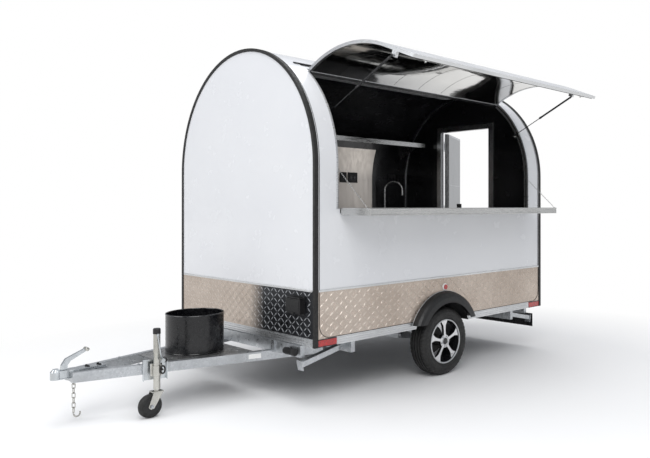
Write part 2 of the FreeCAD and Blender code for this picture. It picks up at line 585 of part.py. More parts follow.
def jockey():
    """Bracket on the beam and its clamped tube; the leg that slides, the fork that swivels, the wheel."""
    reach = JOCKEY_STANDOFF * math.cos(BEAM_SLOPE) - BEAM_WIDTH / 2
    span = (BEAM_BOTTOM - 42, CHASSIS_BOTTOM + 34)
    plate = beam_block((-84, 84), (-reach, -reach + 6), span)
    wings = [beam_block(w, (-reach, -JOCKEY_TUBE - 22), span) for w in ((-84, -78), (78, 84))]
    pivot = rod(along_beam(0, -reach, JOCKEY_PIVOT_Z), along_beam(0, -JOCKEY_TUBE - 15, JOCKEY_PIVOT_Z), 14)
    nodes["jockey_bracket"] = fuse(plate, *wings, pivot)
    centre = (JOCKEY_X, JOCKEY_Y)
    tube = rod((*centre, JOCKEY_BOTTOM), (*centre, JOCKEY_TOP), JOCKEY_TUBE)
    bore = rod((*centre, JOCKEY_BOTTOM - 1), (*centre, JOCKEY_TOP - 14), JOCKEY_BORE)
    grasp = (JOCKEY_PIVOT_Z - 44, JOCKEY_PIVOT_Z + 44)
    clamp = beam_block((-40, 40), (-JOCKEY_TUBE - 15, -JOCKEY_TUBE + 8), grasp)
    strap = rod((*centre, JOCKEY_PIVOT_Z - 34), (*centre, JOCKEY_PIVOT_Z + 34), JOCKEY_TUBE + 5)
    nodes["jockey_tube"] = fuse(tube, clamp, strap).cut(bore)
    high = JOCKEY_TOP - 34
    low = JOCKEY_TOP - CRANK_DROP
    out = JOCKEY_TUBE + 12
    hub = rod(along_beam(0, JOCKEY_TUBE - 2, high), along_beam(0, JOCKEY_TUBE + 16, high), 9)
    arm = rod(along_beam(0, out, high), along_beam(-CRANK_LEAN, out, low), 5)
    grip = rod(along_beam(-CRANK_LEAN, out - 4, low), along_beam(-CRANK_LEAN, out + 72, low), 13)
    nodes["jockey_crank"] = fuse(hub, arm, grip).cut(tube)
    leg_low = JOCKEY_LEG_LOW
    leg = rod((*centre, leg_low), (*centre, JOCKEY_TOP - 60), JOCKEY_LEG)
    kingpin = rod((*centre, leg_low - 4), (*centre, leg_low + 9), JOCKEY_KINGPIN)
    seat = rod((*centre, leg_low - 1), (*centre, leg_low + 10), JOCKEY_KINGPIN + RUNNING_CLEARANCE)
    nodes["jockey_leg"] = leg.cut(seat)
    wx = JOCKEY_X + JOCKEY_TRAIL
    wz = JOCKEY_WHEEL
    side = JOCKEY_WIDTH / 2 + 5
    crown = box((JOCKEY_X - 38, JOCKEY_X + 38), (JOCKEY_Y - side - 5, JOCKEY_Y + side + 5),
                (leg_low - 8.3, leg_low - 0.3))
    plan = ((JOCKEY_X - 36, leg_low - 4), (JOCKEY_X + 38, leg_low - 4), (wx + 24, wz - 4),
            (wx + 8, wz - 20), (wx - 16, wz - 16))
    faces = (JOCKEY_Y - side - 5, JOCKEY_Y + side)
    cheeks = [prism([(x, y, z) for x, z in plan], (0, 5, 0)) for y in faces]
    bolt = rod((wx, JOCKEY_Y - side - 9, wz), (wx, JOCKEY_Y + side + 9, wz), JOCKEY_BOLT)
    nodes["jockey_fork"] = fuse(crown, *cheeks, bolt, kingpin)
    y0, y1 = JOCKEY_Y - JOCKEY_WIDTH / 2, JOCKEY_Y + JOCKEY_WIDTH / 2
    bore = JOCKEY_BOLT + RUNNING_CLEARANCE
    profile = [(bore, y0), (wz - 12, y0), (wz - 3, y0 + 6), (wz, y0 + 14), (wz, y1 - 14), (wz - 3, y1 - 6),
               (wz - 12, y1), (bore, y1)]
    nodes["jockey_wheel"] = revolved(profile, wx, wz)


HINGE_RADIUS = ARCH_RADIUS + HINGE_STAND
CANOPY_START = HINGE_ANGLE + math.degrees(12.0 / ARCH_RADIUS)
CANOPY_AXIS = on_arch(HINGE_RADIUS, HINGE_ANGLE + math.degrees(6.0 / ARCH_RADIUS))


def opened(shape):
    """A piece of the closed canopy, swung up to where it stands."""
    return turned(shape, (0, CANOPY_AXIS.y, CANOPY_AXIS.z), X_AXIS, CANOPY_OPEN)


def knuckle_spans(x0, x1):
    """Where the hinge knuckles along an edge start and end."""
    length = (x1 - x0) / HINGE_KNUCKLES
    return [(x0 + k * length + 1.5, x0 + (k + 1) * length - 1.5) for k in range(HINGE_KNUCKLES)]


def canopy():
    """The lifting part of the roof and side: panel, bright lining, edge frame, and its hinge."""
    inner = ARCH_RADIUS - CANOPY_THICK
    x0, x1 = CANOPY_REAR + CANOPY_FRAME, CANOPY_FRONT - CANOPY_FRAME
    frame_low = CANOPY_LOW + CANOPY_FRAME
    panel = side_band(ARCH_RADIUS, inner + LINING, CANOPY_START, frame_low, x0, x1)
    lining = side_band(inner + LINING, inner, CANOPY_START, frame_low, x0, x1)
    ends = [side_band(ARCH_RADIUS, inner - CANOPY_LIP, CANOPY_START, CANOPY_LOW, *span)
            for span in ((CANOPY_REAR, x0), (x1, CANOPY_FRONT))]
    frame = ends + [box((x0 + 0.5, x1 - 0.5), (inner - CANOPY_LIP, ARCH_RADIUS), (CANOPY_LOW, frame_low))]
    y, z = STRUT_CANOPY_PIN
    for x, sign in ((CANOPY_FRONT, -1), (CANOPY_REAR, 1)):
        strut_x = x + sign * (STRUT_INSET - CANOPY_GAP)
        block = box(sorted((strut_x + sign * 13, strut_x + sign * 40)), (y - 10, inner), (z - 22, z + 22))
        stud = rod((strut_x + sign * 9.6, y, z), (strut_x + sign * 14, y, z), STRUT_STUD)
        frame.append(fuse(block, stud))
    nodes["canopy_panel"] = opened(panel)
    nodes["canopy_lining"] = opened(lining)
    fixed, moving = [], []
    axis_angle = HINGE_ANGLE + math.degrees(6.0 / ARCH_RADIUS)
    for k, (a, b) in enumerate(knuckle_spans(x0, x1)):
        knuckle = rod((a, CANOPY_AXIS.y, CANOPY_AXIS.z), (b, CANOPY_AXIS.y, CANOPY_AXIS.z), HINGE_PIN)
        leaf = sorted((axis_angle, axis_angle + (HINGE_LEAF_ANGLE if k % 2 else -HINGE_LEAF_ANGLE)))
        band = arch_band(ARCH_RADIUS + HINGE_LEAF, ARCH_RADIUS, *leaf, a, b)
        (moving if k % 2 else fixed).append(fuse(knuckle, band))
    nodes["canopy_frame"] = opened(Part.makeCompound(frame + moving))
    return fixed


def open_pin():
    """Where the strut's pin on the canopy stands with the canopy open: (y, z)."""
    a = math.radians(CANOPY_OPEN)
    c, s = math.cos(a), math.sin(a)
    y, z = STRUT_CANOPY_PIN[0] - CANOPY_AXIS.y, STRUT_CANOPY_PIN[1] - CANOPY_AXIS.z
    return (CANOPY_AXIS.y + y * c - z * s, CANOPY_AXIS.z + y * s + z * c)


def pillar_pin():
    """Where the strut's pin stands on the pillar: (y, z)."""
    place = on_arch(ARCH_RADIUS - STRUT_PILLAR_IN, STRUT_PILLAR_ANGLE)
    return (place.y, place.z)


def strut(name, x):
    """A gas strut: cylinder on the canopy's pin, rod towards the pillar's pin."""
    top = Vector(x, *open_pin())
    foot = Vector(x, *pillar_pin())
    way = (foot - top).normalize()
    mouth = top + way * STRUT_BODY_LENGTH
    bore_end = top + way * 30
    eye = Part.makeSphere(9, top)
    neck = rod(tuple(top), tuple(top + way * 24), 5)
    barrel = rod(tuple(top + way * 20), tuple(mouth), STRUT_CYLINDER)
    bore = rod(tuple(bore_end), tuple(mouth + way), STRUT_ROD + 0.3)
    nodes["strut_cylinder_" + name] = fuse(eye, neck, barrel).cut(bore)
    piston = top + way * (STRUT_BODY_LENGTH - 60)
    bar = rod(tuple(piston), tuple(foot), STRUT_ROD)
    nodes["strut_rod_" + name] = fuse(bar, Part.makeSphere(8, foot))


def opening_pins():
    """Studs on the pillars' edges: one for each strut, one for each shelf chain."""
    made = []
    y, z = pillar_pin()
    low, high = STRUT_PILLAR_ANGLE - 1.4, STRUT_PILLAR_ANGLE + 1.4
    anchor = (CHAIN_ANCHOR_Y, CHAIN_ANCHOR_Z)
    for x, sign in ((OPEN_FRONT, -1), (OPEN_REAR, 1)):
        thick = sorted((x, x + sign * 5))
        foot = arch_band(ARCH_RADIUS - 8, INNER_RADIUS, low, high, *thick)
        arm = arch_band(ARCH_RADIUS - 30, ARCH_RADIUS - STRUT_PILLAR_IN - 14, low, high, *thick)
        stud = rod((x, y, z), (x + sign * (STRUT_INSET - 8.6), y, z), STRUT_STUD)
        made.append(fuse(foot, arm, stud))
        made.append(rod((x, *anchor), (x + sign * CHAIN_STUD, *anchor), STRUT_STUD))
    return made


SHELF_Y = HALF + SHELF_GAP
SHELF_ENDS = (OPEN_REAR + CANOPY_GAP, OPEN_FRONT - CANOPY_GAP)


def shelf():
    """The folding shelf: a folded sheet, open below, with its hinge, and the two chains that hold it."""
    x0, x1 = SHELF_ENDS
    low = SHELF_TOP - SHELF_THICK
    whole = box((x0, x1), (SHELF_Y + 6, SHELF_Y + SHELF_DEPTH), (low, SHELF_TOP))
    t = SHELF_SHEET
    hollow = box((x0 + t, x1 - t), (SHELF_Y + 6 + t, SHELF_Y + SHELF_DEPTH - t), (low - 1, SHELF_TOP - t))
    ribs = [box((x - 12, x + 12), (SHELF_Y + 8, SHELF_Y + SHELF_DEPTH - 2), (low + 14, SHELF_TOP - 1))
            for x in (x0 + (x1 - x0) * f for f in (0.25, 0.5, 0.75))]
    tray = fuse(whole.cut(hollow), *ribs)
    fixed = []
    for k, (a, b) in enumerate(knuckle_spans(x0, x1)):
        knuckle = rod((a, SHELF_Y, SHELF_TOP - SHELF_PIN), (b, SHELF_Y, SHELF_TOP - SHELF_PIN), SHELF_PIN)
        if k % 2:
            tray = fuse(tray, knuckle, box((a, b), (SHELF_Y, SHELF_Y + 7), (SHELF_TOP - 3, SHELF_TOP)))
        else:
            back = box((a, b), (HALF, HALF + 3), (SHELF_TOP - 40, SILL_HEIGHT))
            fixed.append(fuse(knuckle, back, box((a, b), (HALF, SHELF_Y), (SHELF_TOP - 10, SHELF_TOP - 7))))
    eye_y, eye_z = SHELF_Y + SHELF_DEPTH - 14, SHELF_TOP - 12
    chains = []
    for x, sign in ((OPEN_FRONT, -1), (OPEN_REAR, 1)):
        cx = x + sign * CANOPY_GAP / 2
        ear = rod((x + sign * (CANOPY_GAP + 1), eye_y, eye_z), (x + sign * 4.5, eye_y, eye_z), STRUT_STUD)
        tray = fuse(tray, ear)
        start, end = Vector(cx, CHAIN_ANCHOR_Y, CHAIN_ANCHOR_Z), Vector(cx, eye_y, eye_z)
        way = (end - start).normalize() * 5.5
        chains.append(rod(tuple(start + way), tuple(end - way), 2.5))
    nodes["serving_shelf"] = tray
    nodes["shelf_chains"] = Part.makeCompound(chains)
    return fixed


DOOR_PIN = (REAR_X - DOOR_PIN_OUT, -DOOR_WIDTH / 2 - 6)


def rear_door():
    """The entry door, standing open, its handles, and the frame inside the doorway.

    They are laid out with the hinge on the serving side, then mirrored.
    """
    half = DOOR_WIDTH / 2 - DOOR_GAP
    pin = (DOOR_PIN[0], -DOOR_PIN[1])
    leaf = box((REAR_X, REAR_X + DOOR_THICK), (-half, half), (DOOR_SILL + DOOR_GAP, DOOR_TOP - DOOR_GAP))
    knuckles, hinges = [], []
    for z in (DOOR_SILL + 160, (DOOR_SILL + DOOR_TOP) / 2, DOOR_TOP - 160):
        barrel = rod((*pin, z - 40), (*pin, z + 40), DOOR_PIN_RADIUS)
        plate = box((REAR_X - 4, REAR_X), (half - 40, pin[1] - 6), (z - 38, z + 38))
        link = box((REAR_X - 8, REAR_X - 1), (half - 6, pin[1]), (z - 38, z + 38))
        knuckles.append(fuse(barrel, plate, link))
        ends = [rod((*pin, z + s * 41), (*pin, z + s * 60), DOOR_PIN_RADIUS) for s in (-1, 1)]
        straps = [box((REAR_X - 8, REAR_X), (pin[1], pin[1] + 46), sorted((z + s * 42, z + s * 59)))
                  for s in (-1, 1)]
        back = box((REAR_X - 3, REAR_X), (pin[1] + 9, pin[1] + 46), (z - 59, z + 59))
        hinges.append(fuse(back, *ends, *straps))
    handle_y = -half + 60
    handle_z = DOOR_SILL + DOOR_HANDLE_HEIGHT
    plate = box((REAR_X - 10, REAR_X), (handle_y - 26, handle_y + 26), (handle_z - 80, handle_z + 80))
    lever = rod((REAR_X - 10, handle_y, handle_z), (REAR_X - 34, handle_y, handle_z), 8)
    grip = box((REAR_X - 42, REAR_X - 30), (handle_y - 12, handle_y + 110), (handle_z - 11, handle_z + 11))
    back = REAR_X + DOOR_THICK
    catch = box((back, back + 30), (handle_y - 14, handle_y + 14), (handle_z - 60, handle_z + 60))
    handles = Part.makeCompound([fuse(plate, lever, grip), catch])
    for name, shape in (("rear_door", fuse(leaf, *knuckles)), ("door_handles", handles)):
        nodes[name] = mirrored(turned(shape, (*pin, 0), Z_AXIS, -DOOR_OPEN))
    x = (REAR_X + WALL, REAR_X + WALL + 8)
    wide = DOOR_WIDTH / 2 + DOOR_EDGE
    outer = box(x, (-wide, wide), (FLOOR_TOP, DOOR_TOP + DOOR_EDGE))
    hole = box((x[0] - 1, x[1] + 1), (-DOOR_WIDTH / 2, DOOR_WIDTH / 2), (FLOOR_TOP - 1, DOOR_TOP))
    nodes["door_frame"] = Part.makeCompound([outer.cut(hole)] + [mirrored(h) for h in hinges])


def sheet_tray(x, y, top, lip):
    """A folded sheet, open below: a flat top with a lip all round."""
    t = BENCH_SHEET
    hollow = box((x[0] + t, x[1] - t), (y[0] + t, y[1] - t), (top - lip - 1, top - t))
    return box(x, y, (top - lip, top)).cut(hollow)


def bench(depth, sinks):
    """A stainless bench along the right wall, with sinks let into it."""
    x = (REAR_X + WALL + BENCH_END, -WALL - BENCH_END)
    back = WALL - HALF
    front = back + depth
    pieces = [sheet_tray(x, (back, front), BENCH_TOP, BENCH_LIP),
              sheet_tray(x, (back, front - 20), RACK_HEIGHT, RACK_LIP)]
    leg_y = (front - LEG - 20, front - 20)
    for leg_x in (x[0], (x[0] + x[1]) / 2 + 500, x[1] - LEG):
        pieces.append(box((leg_x, leg_x + LEG), leg_y, (FLOOR_TOP, BENCH_TOP - 1)))
    if sinks:
        pieces.append(box(x, (back, back + 12), (BENCH_TOP - 1, BENCH_TOP + SPLASH_HEIGHT)))
    long, wide, deep = SINK
    y0 = front - 70 - wide
    t = BENCH_SHEET
    for sink_x in sinks:
        span = (sink_x - long / 2, sink_x + long / 2)
        depth_z = (BENCH_TOP - deep - t, BENCH_TOP - 1)
        pieces.append(box((span[0] - t, span[1] + t), (y0 - t, y0 + wide + t), depth_z))
    whole = fuse(*pieces)
    for sink_x in sinks:
        span = (sink_x - long / 2, sink_x + long / 2)
        whole = whole.cut(box(span, (y0, y0 + wide), (BENCH_TOP - deep, BENCH_TOP + 1)))
    return whole


def inside():
    """Benches, tap, wall shelf, lamp and socket plates."""
    nodes["sink_bench"] = bench(BENCH_DEPTH, SINK_X)
    nodes["serving_counter"] = mirrored(bench(COUNTER_DEPTH, ()))
    y0, y1 = TAP_Y, TAP_Y + 2 * TAP_REACH
    high = BENCH_TOP + TAP_HEIGHT
    column = rod((TAP_X, y0, BENCH_TOP), (TAP_X, y0, high), 10)
    bend = Part.makeTorus(TAP_REACH, 10, Vector(TAP_X, y0 + TAP_REACH, high), X_AXIS)
    hoop = bend.common(box((TAP_X - 20, TAP_X + 20), (y0 - 20, y1 + 20), (high, high + TAP_REACH + 20)))
    spout = rod((TAP_X, y1, high), (TAP_X, y1, high - 60), 12)
    base = rod((TAP_X, y0, BENCH_TOP), (TAP_X, y0, BENCH_TOP + 46), 20)
    lever = rod((TAP_X, y0, BENCH_TOP + 34), (TAP_X + 78, y0 + 16, BENCH_TOP + 62), 7)
    neck = turned(fuse(column, hoop, spout), (TAP_X, y0, 0), Z_AXIS, TAP_TURN)
    nodes["sink_tap"] = fuse(neck, base, lever)
    room = arch_block(INNER_RADIUS, FLOOR_TOP, REAR_X + WALL, -WALL)
    z0, z1 = WALL_SHELF_Z - WALL_SHELF_LIP, WALL_SHELF_Z
    front, back, sheet = WALL_SHELF_FRONT, WALL_SHELF_BACK, WALL_SHELF_SHEET
    x0, x1 = REAR_X + WALL + 80, -WALL - 60
    outline = [(front, z0), (front, z1), (back, z1), (back, z1 - sheet), (front - sheet, z1 - sheet),
               (front - sheet, z0)]
    tray = prism([(x0, y, z) for y, z in outline], (x1 - x0, 0, 0))
    corner = ((front - 4, z1 - 3), (back - 10, z1 - 3), (back - 10, z1 - GUSSET_DROP))
    gusset_x = (x0 + 40, (x0 + x1) / 2, x1 - 46)
    gussets = [prism([(x, y, z) for y, z in corner], (sheet, 0, 0)) for x in gusset_x]
    nodes["wall_shelf"] = fuse(tray, *gussets).common(room)
    ceiling = SPRING_HEIGHT + INNER_RADIUS
    lamp = box((REAR_X + 330, -520), (-42, 42), (ceiling - 62, ceiling))
    nodes["ceiling_lamp"] = lamp.common(room)
    wall_y = WALL - HALF
    proud, tall = (wall_y, wall_y + SOCKET_OUT), (SOCKET_Z, SOCKET_Z + SOCKET_TALL)
    plates = [box((REAR_X + x - wide, REAR_X + x), proud, tall) for x, wide in SOCKET_PLATES]
    nodes["socket_plates"] = Part.makeCompound([p.common(room) for p in plates])


def fittings():
    """Reflectors, marker lamps, rear board and lamps, power inlet and towing plug."""
    made = []
    for corner, sign in ((-TRIM_SIDE - 2, -1), (REAR_X + TRIM_SIDE + 2, 1)):
        span = sorted((corner, corner + sign * REFLECTOR_LENGTH))
        strip = box(span, (HALF, HALF + 4), (FLOOR_BOTTOM + 2, FLOOR_TOP - 2))
        made += [strip, mirrored(strip)]
    face = HALF + SKIRT_THICK
    lamp = ring(AXLE_X - 14, SKIRT_TOP - 84, MARKER_RADIUS, 0, face, face + 16)
    made += [lamp, mirrored(lamp)]
    low, high = BOARD_LOW, CHASSIS_BOTTOM
    board = box((REAR_X + 2, REAR_X + 6), (-BOARD_HALF, BOARD_HALF), (low, high))
    lip = box((REAR_X + 2, REAR_X + 24), (-BOARD_HALF, BOARD_HALF), (high - 4, high))
    hangers = [box((REAR_X + 6, REAR_X + 30), (s * RAIL_Y - 20, s * RAIL_Y + 20), (high - 60, high + 18))
               for s in (-1, 1)]
    rails = box((REAR_X + 30, 0), (-HALF, HALF), (high, FLOOR_BOTTOM))
    nodes["rear_board"] = fuse(board, lip, *hangers).cut(rails)
    wide, tall = TAIL_LAMP
    outer = BOARD_HALF - 50
    tail = box((REAR_X - 22, REAR_X + 2), (outer - wide, outer), (low + 28, low + 28 + tall))
    made += [tail, mirrored(tail)]
    nodes["lamps_and_reflectors"] = Part.makeCompound(made)
    wide, tall, deep = INLET
    y = HALF - 135
    inlet = box((SKIRT_THICK, SKIRT_THICK + deep), (y - wide, y), (SKIRT_TOP - 58 - tall, SKIRT_TOP - 58))
    x, z = CROSS_WIDTH / 2 + 28, STEADY_PIVOT_Z
    y = HALF - 310
    stem = box((CROSS_WIDTH / 2, x), (y + 52, y + 76), (z - 12, z + 12))
    plug = rod((x, y, z), (x, y + 110, z), 24)
    collar = rod((x, y + 106, z), (x, y + 132, z), 28)
    nodes["power_sockets"] = Part.makeCompound([inlet, fuse(stem, plug, collar)])


def same(shape):
    return shape


def frame_offset():
    """The point on the floor under the middle of the whole trailer, from what reaches furthest each way."""
    front = COUPLER_X + SOCKET_RADIUS + COUPLER_WALL
    rear = min(nodes[name].BoundBox.XMin for name in ("rear_door", "door_handles"))
    edge = nodes["canopy_frame"].BoundBox.YMax
    right = -(HALF + FENDER_OUT)
    return Vector((front + rear) / 2, (edge + right) / 2, 0)


def build():
    body_shell()
    edge_trims()
    floor_and_rails()
    skirt()
    for name, flip in (("left", same), ("right", mirrored)):
        wheel(name, flip)
        steady("front_" + name, STEADY_FRONT_X, 1, flip)
        steady("rear_" + name, STEADY_REAR_X, -1, flip)
    fenders()
    axle()
    drawbar()
    coupler()
    safety_chain()
    chassis()
    jockey()
    hardware = canopy()
    for name, x in (("front", OPEN_FRONT - STRUT_INSET), ("rear", OPEN_REAR + STRUT_INSET)):
        strut(name, x)
    nodes["opening_hardware"] = Part.makeCompound(hardware + opening_pins() + shelf())
    rear_door()
    inside()
    fittings()


def export():
    os.makedirs("parts", exist_ok=True)
    offset = frame_offset()
    for name, shape in nodes.items():
        placed = shape.copy()
        placed.translate(Vector(-offset.x, -offset.y, -offset.z))
        placed.exportStep("parts/" + name + ".step")
    return offset


build()
OFFSET = export()
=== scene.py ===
"""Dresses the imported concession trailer: camera, light, materials and the small pieces beside the solids.

Lengths are in metres. at() turns the trailer's own layout (x = 0 on the front wall's face, y = 0 on the
centre line, z = 0 on the floor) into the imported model's frame.
"""
import bpy
import bmesh
import json
import math
from mathutils import Matrix, Vector


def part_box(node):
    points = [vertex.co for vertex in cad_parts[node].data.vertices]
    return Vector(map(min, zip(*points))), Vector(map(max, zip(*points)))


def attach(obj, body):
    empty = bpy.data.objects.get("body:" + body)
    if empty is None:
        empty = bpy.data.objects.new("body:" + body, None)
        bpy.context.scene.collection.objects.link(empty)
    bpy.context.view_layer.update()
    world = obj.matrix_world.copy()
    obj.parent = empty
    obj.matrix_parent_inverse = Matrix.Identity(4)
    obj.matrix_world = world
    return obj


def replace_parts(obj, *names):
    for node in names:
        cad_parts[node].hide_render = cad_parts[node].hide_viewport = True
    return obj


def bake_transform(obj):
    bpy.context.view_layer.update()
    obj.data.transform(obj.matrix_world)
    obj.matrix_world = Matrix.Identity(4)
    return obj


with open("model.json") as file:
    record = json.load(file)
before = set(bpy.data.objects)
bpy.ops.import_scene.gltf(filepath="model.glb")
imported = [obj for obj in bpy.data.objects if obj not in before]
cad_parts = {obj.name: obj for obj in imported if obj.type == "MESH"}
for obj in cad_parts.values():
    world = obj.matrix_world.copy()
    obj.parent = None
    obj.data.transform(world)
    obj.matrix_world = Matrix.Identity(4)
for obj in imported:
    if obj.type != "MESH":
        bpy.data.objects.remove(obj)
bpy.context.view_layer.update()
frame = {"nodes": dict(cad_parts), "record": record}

IMAGE = (650, 458)
FOCAL_PIXELS = 681.84
SENSOR = 36.0
PRINCIPAL = (422.51, 204.73)
CAMERA_PLACE = (3.1627, 5.0439, 1.5064)
CAMERA_YAW = -136.983
CAMERA_PITCH = 0.145

LENGTH = 3.0
HALF = 1.0
SPRING = 1.82
FLOOR_TOP = 0.510
SKIRT_TOP = 0.868
SILL = 1.488
OPEN_FRONT = -0.222
OPEN_REAR = -2.778
HINGE_ANGLE = 36.5
LINE = 0.038
CORNER = 0.100
TRIM_END = 0.030
LEAF = 0.040
BENCH_EDGE = 1.394

front_low, front_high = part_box("front_wall")
ORIGIN = Vector((front_high[0], (front_low[1] + front_high[1]) / 2, 0))


def at(x, y, z):
    return ORIGIN + Vector((x, y, z))


def centre(node):
    low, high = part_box(node)
    return (Vector(low) + Vector(high)) / 2


def joint(name):
    return next(j for j in frame["record"]["behaviour"]["joints"] if j["name"] == name)


def swing(name, axis):
    """Moves what is laid out with a joint at its closed end to where it stands open."""
    pivot = Vector(joint(name)["pos_m"])
    turn = Matrix.Rotation(math.radians(-joint(name)["range_deg"][0]), 4, axis)
    return Matrix.Translation(pivot) @ turn @ Matrix.Translation(-pivot)


# Materials


class Surface:
    """A procedural material built step by step on one Principled shader."""

    def __init__(self, name, colour, roughness=0.5, metallic=0.0, coat=0.0):
        self.material = bpy.data.materials.new(name)
        self.material.use_nodes = True
        self.tree = self.material.node_tree
        self.shader = self.tree.nodes["Principled BSDF"]
        self.colour = colour
        self.shader.inputs["Base Color"].default_value = (*colour, 1)
        self.shader.inputs["Roughness"].default_value = roughness
        self.shader.inputs["Metallic"].default_value = metallic
        self.shader.inputs["Coat Weight"].default_value = coat
        self.place = self.tree.nodes.new("ShaderNodeTexCoord").outputs["Object"]

    def node(self, kind, **values):
        made = self.tree.nodes.new("ShaderNode" + kind)
        for key, value in values.items():
            if key in made.inputs:
                made.inputs[key].default_value = value
            else:
                setattr(made, key, value)
        return made

    def link(self, start, end):
        self.tree.links.new(start, end)

    def stretched(self, scale):
        mapping = self.node("Mapping", Scale=scale)
        self.link(self.place, mapping.inputs["Vector"])
        return mapping.outputs["Vector"]

    def noise(self, scale, detail=4.0, stretch=(1, 1, 1)):
        made = self.node("TexNoise", Scale=scale, Detail=detail)
        self.link(self.stretched(stretch), made.inputs["Vector"])
        return made.outputs["Fac"]

    def ramp(self, value, low, high, start=0.35, end=0.65):
        made = self.node("MapRange")
        for key, number in (("From Min", start), ("From Max", end), ("To Min", low), ("To Max", high)):
            made.inputs[key].default_value = number
        self.link(value, made.inputs["Value"])
        return made.outputs["Result"]

    def mixed(self, factor, first, second):
        made = self.node("Mix", data_type="RGBA")
        self.link(factor, made.inputs["Factor"])
        for socket, value in ((made.inputs["A"], first), (made.inputs["B"], second)):
            if isinstance(value, tuple):
                socket.default_value = (*value, 1)
            else:
                self.link(value, socket)
        return made.outputs["Result"]

    def tinted(self, scale, other, amount=1.0, stretch=(1, 1, 1)):
        """Lets the colour drift towards another one in soft patches."""
        self.link(self.mixed(self.ramp(self.noise(scale, stretch=stretch), 0, amount), self.colour, other),
                  self.shader.inputs["Base Color"])
        return self

    def rough(self, scale, low, high, stretch=(1, 1, 1)):
        self.link(self.ramp(self.noise(scale, 6.0, stretch), low, high), self.shader.inputs["Roughness"])
        return self

    def bump(self, height, distance, strength=1.0):
        made = self.node("Bump", Distance=distance, Strength=strength)
        self.link(height, made.inputs["Height"])
        last = self.shader.inputs["Normal"]
        if last.is_linked:
            self.link(last.links[0].from_socket, made.inputs["Normal"])
        self.link(made.outputs["Normal"], last)
        return self

    def grain(self, scale, distance, stretch=(1, 1, 1), strength=1.0):
        return self.bump(self.noise(scale, 5.0, stretch), distance, strength)


def shell_paint():
    """Gloss white sheet outside; black sheet inside the cabin, told apart by place."""
    made = Surface("shell_paint", (0.70, 0.71, 0.73), 0.2, coat=0.25)
    made.tinted(0.9, (0.65, 0.66, 0.69), 0.6).rough(7, 0.14, 0.28).grain(1.6, 0.002, strength=0.2)
    split = made.node("SeparateXYZ")
    made.link(made.place, split.inputs["Vector"])

    def maths(kind, a, b):
        step = made.node("Math", operation=kind)
        for socket, value in zip(step.inputs, (a, b)):
            if isinstance(value, (int, float)):
                socket.default_value = value
            else:
                made.link(value, socket)
        return step.outputs[0]

    middle = at(-LENGTH / 2, 0, SPRING)
    across = maths("ABSOLUTE", maths("SUBTRACT", split.outputs["X"], middle.x), 0)
    side = maths("SUBTRACT", split.outputs["Y"], middle.y)
    up = maths("MAXIMUM", maths("SUBTRACT", split.outputs["Z"], middle.z), 0.0)
    radius = maths("SQRT", maths("ADD", maths("MULTIPLY", side, side), maths("MULTIPLY", up, up)), 0)
    sheet = 0.02
    between = maths("LESS_THAN", across, LENGTH / 2 - sheet)
    within = maths("MULTIPLY", maths("LESS_THAN", radius, HALF - sheet), between)
    black = made.mixed(made.ramp(made.noise(3.0), 0, 1), (0.006, 0.006, 0.007), (0.014, 0.014, 0.016))
    painted = made.shader.inputs["Base Color"].links[0].from_socket
    made.link(made.mixed(within, painted, black), made.shader.inputs["Base Color"])
    return made.material


def steel(name, colour, low, high, along=(0.04, 1, 1), scratch=220.0, deep=0.35):
    """Brushed sheet: fine scratches drawn out along one direction."""
    made = Surface(name, colour, metallic=1.0)
    made.tinted(2.0, tuple(c * 0.84 for c in colour), 0.8)
    return made.rough(scratch * 0.7, low, high, along).grain(scratch, 0.0004, along, deep).material


def mirror_steel():
    """Polished lining sheet, a little wavy between its fixings."""
    made = Surface("mirror_steel", (0.66, 0.655, 0.64), metallic=1.0)
    made.tinted(1.5, (0.55, 0.545, 0.53), 0.7).rough(5, 0.04, 0.13).grain(2.1, 0.006, (0.5, 1.8, 1), 0.55)
    return made.material


def galvanised():
    """Zinc-dipped steel with a faint spangle and dull patches."""
    made = Surface("galvanised", (0.52, 0.54, 0.56), metallic=0.95)
    cells = made.node("TexVoronoi", Scale=90.0)
    made.link(made.place, cells.inputs["Vector"])
    shade = made.ramp(cells.outputs["Color"], 0, 1, 0.1, 0.9)
    spangle = made.mixed(shade, (0.46, 0.48, 0.50), (0.58, 0.60, 0.62))
    patches = made.ramp(made.noise(5.0, stretch=(0.5, 1, 1)), 0, 0.7)
    made.link(made.mixed(patches, spangle, (0.38, 0.39, 0.40)), made.shader.inputs["Base Color"])
    return made.rough(18, 0.26, 0.46).grain(70, 0.0008, strength=0.3).material


def bright_zinc(name, colour):
    """Plated steel, smooth and a little yellow, with faint draw lines."""
    made = Surface(name, colour, metallic=1.0)
    made.tinted(9, tuple(c * 0.72 for c in colour), 0.8)
    return made.rough(60, 0.16, 0.34, (1, 1, 0.1)).grain(160, 0.0004, (1, 1, 0.1), 0.3).material


def tread_plate(name, colour, dull, painted_reflection):
    """Rolled aluminium between its raised bars; on the front plate beside the inlet a dark reflection is
    painted into the colour.
    """
    made = Surface(name, colour, metallic=0.85)
    patches = made.mixed(made.ramp(made.noise(2.2), 0, 1), colour, dull)
    # Painted reflection: a dark colour mixed in on the front plate, towards the inlet side, instead of a real
    # reflection.
    if painted_reflection:
        split = made.node("SeparateXYZ")
        made.link(made.place, split.inputs["Vector"])
        forward = made.ramp(split.outputs["X"], 0, 1, ORIGIN.x - 0.02, ORIGIN.x - 0.001)
        leftward = made.ramp(split.outputs["Y"], 0, 1, ORIGIN.y + 0.14, ORIGIN.y + 0.34)
        inlet_reflection_mask = made.node("Math", operation="MULTIPLY")
        made.link(forward, inlet_reflection_mask.inputs[0])
        made.link(leftward, inlet_reflection_mask.inputs[1])
        patches = made.mixed(inlet_reflection_mask.outputs[0], patches, painted_reflection)
    made.link(patches, made.shader.inputs["Base Color"])
    return made.rough(26, 0.24, 0.42).grain(60, 0.001, strength=0.3).material


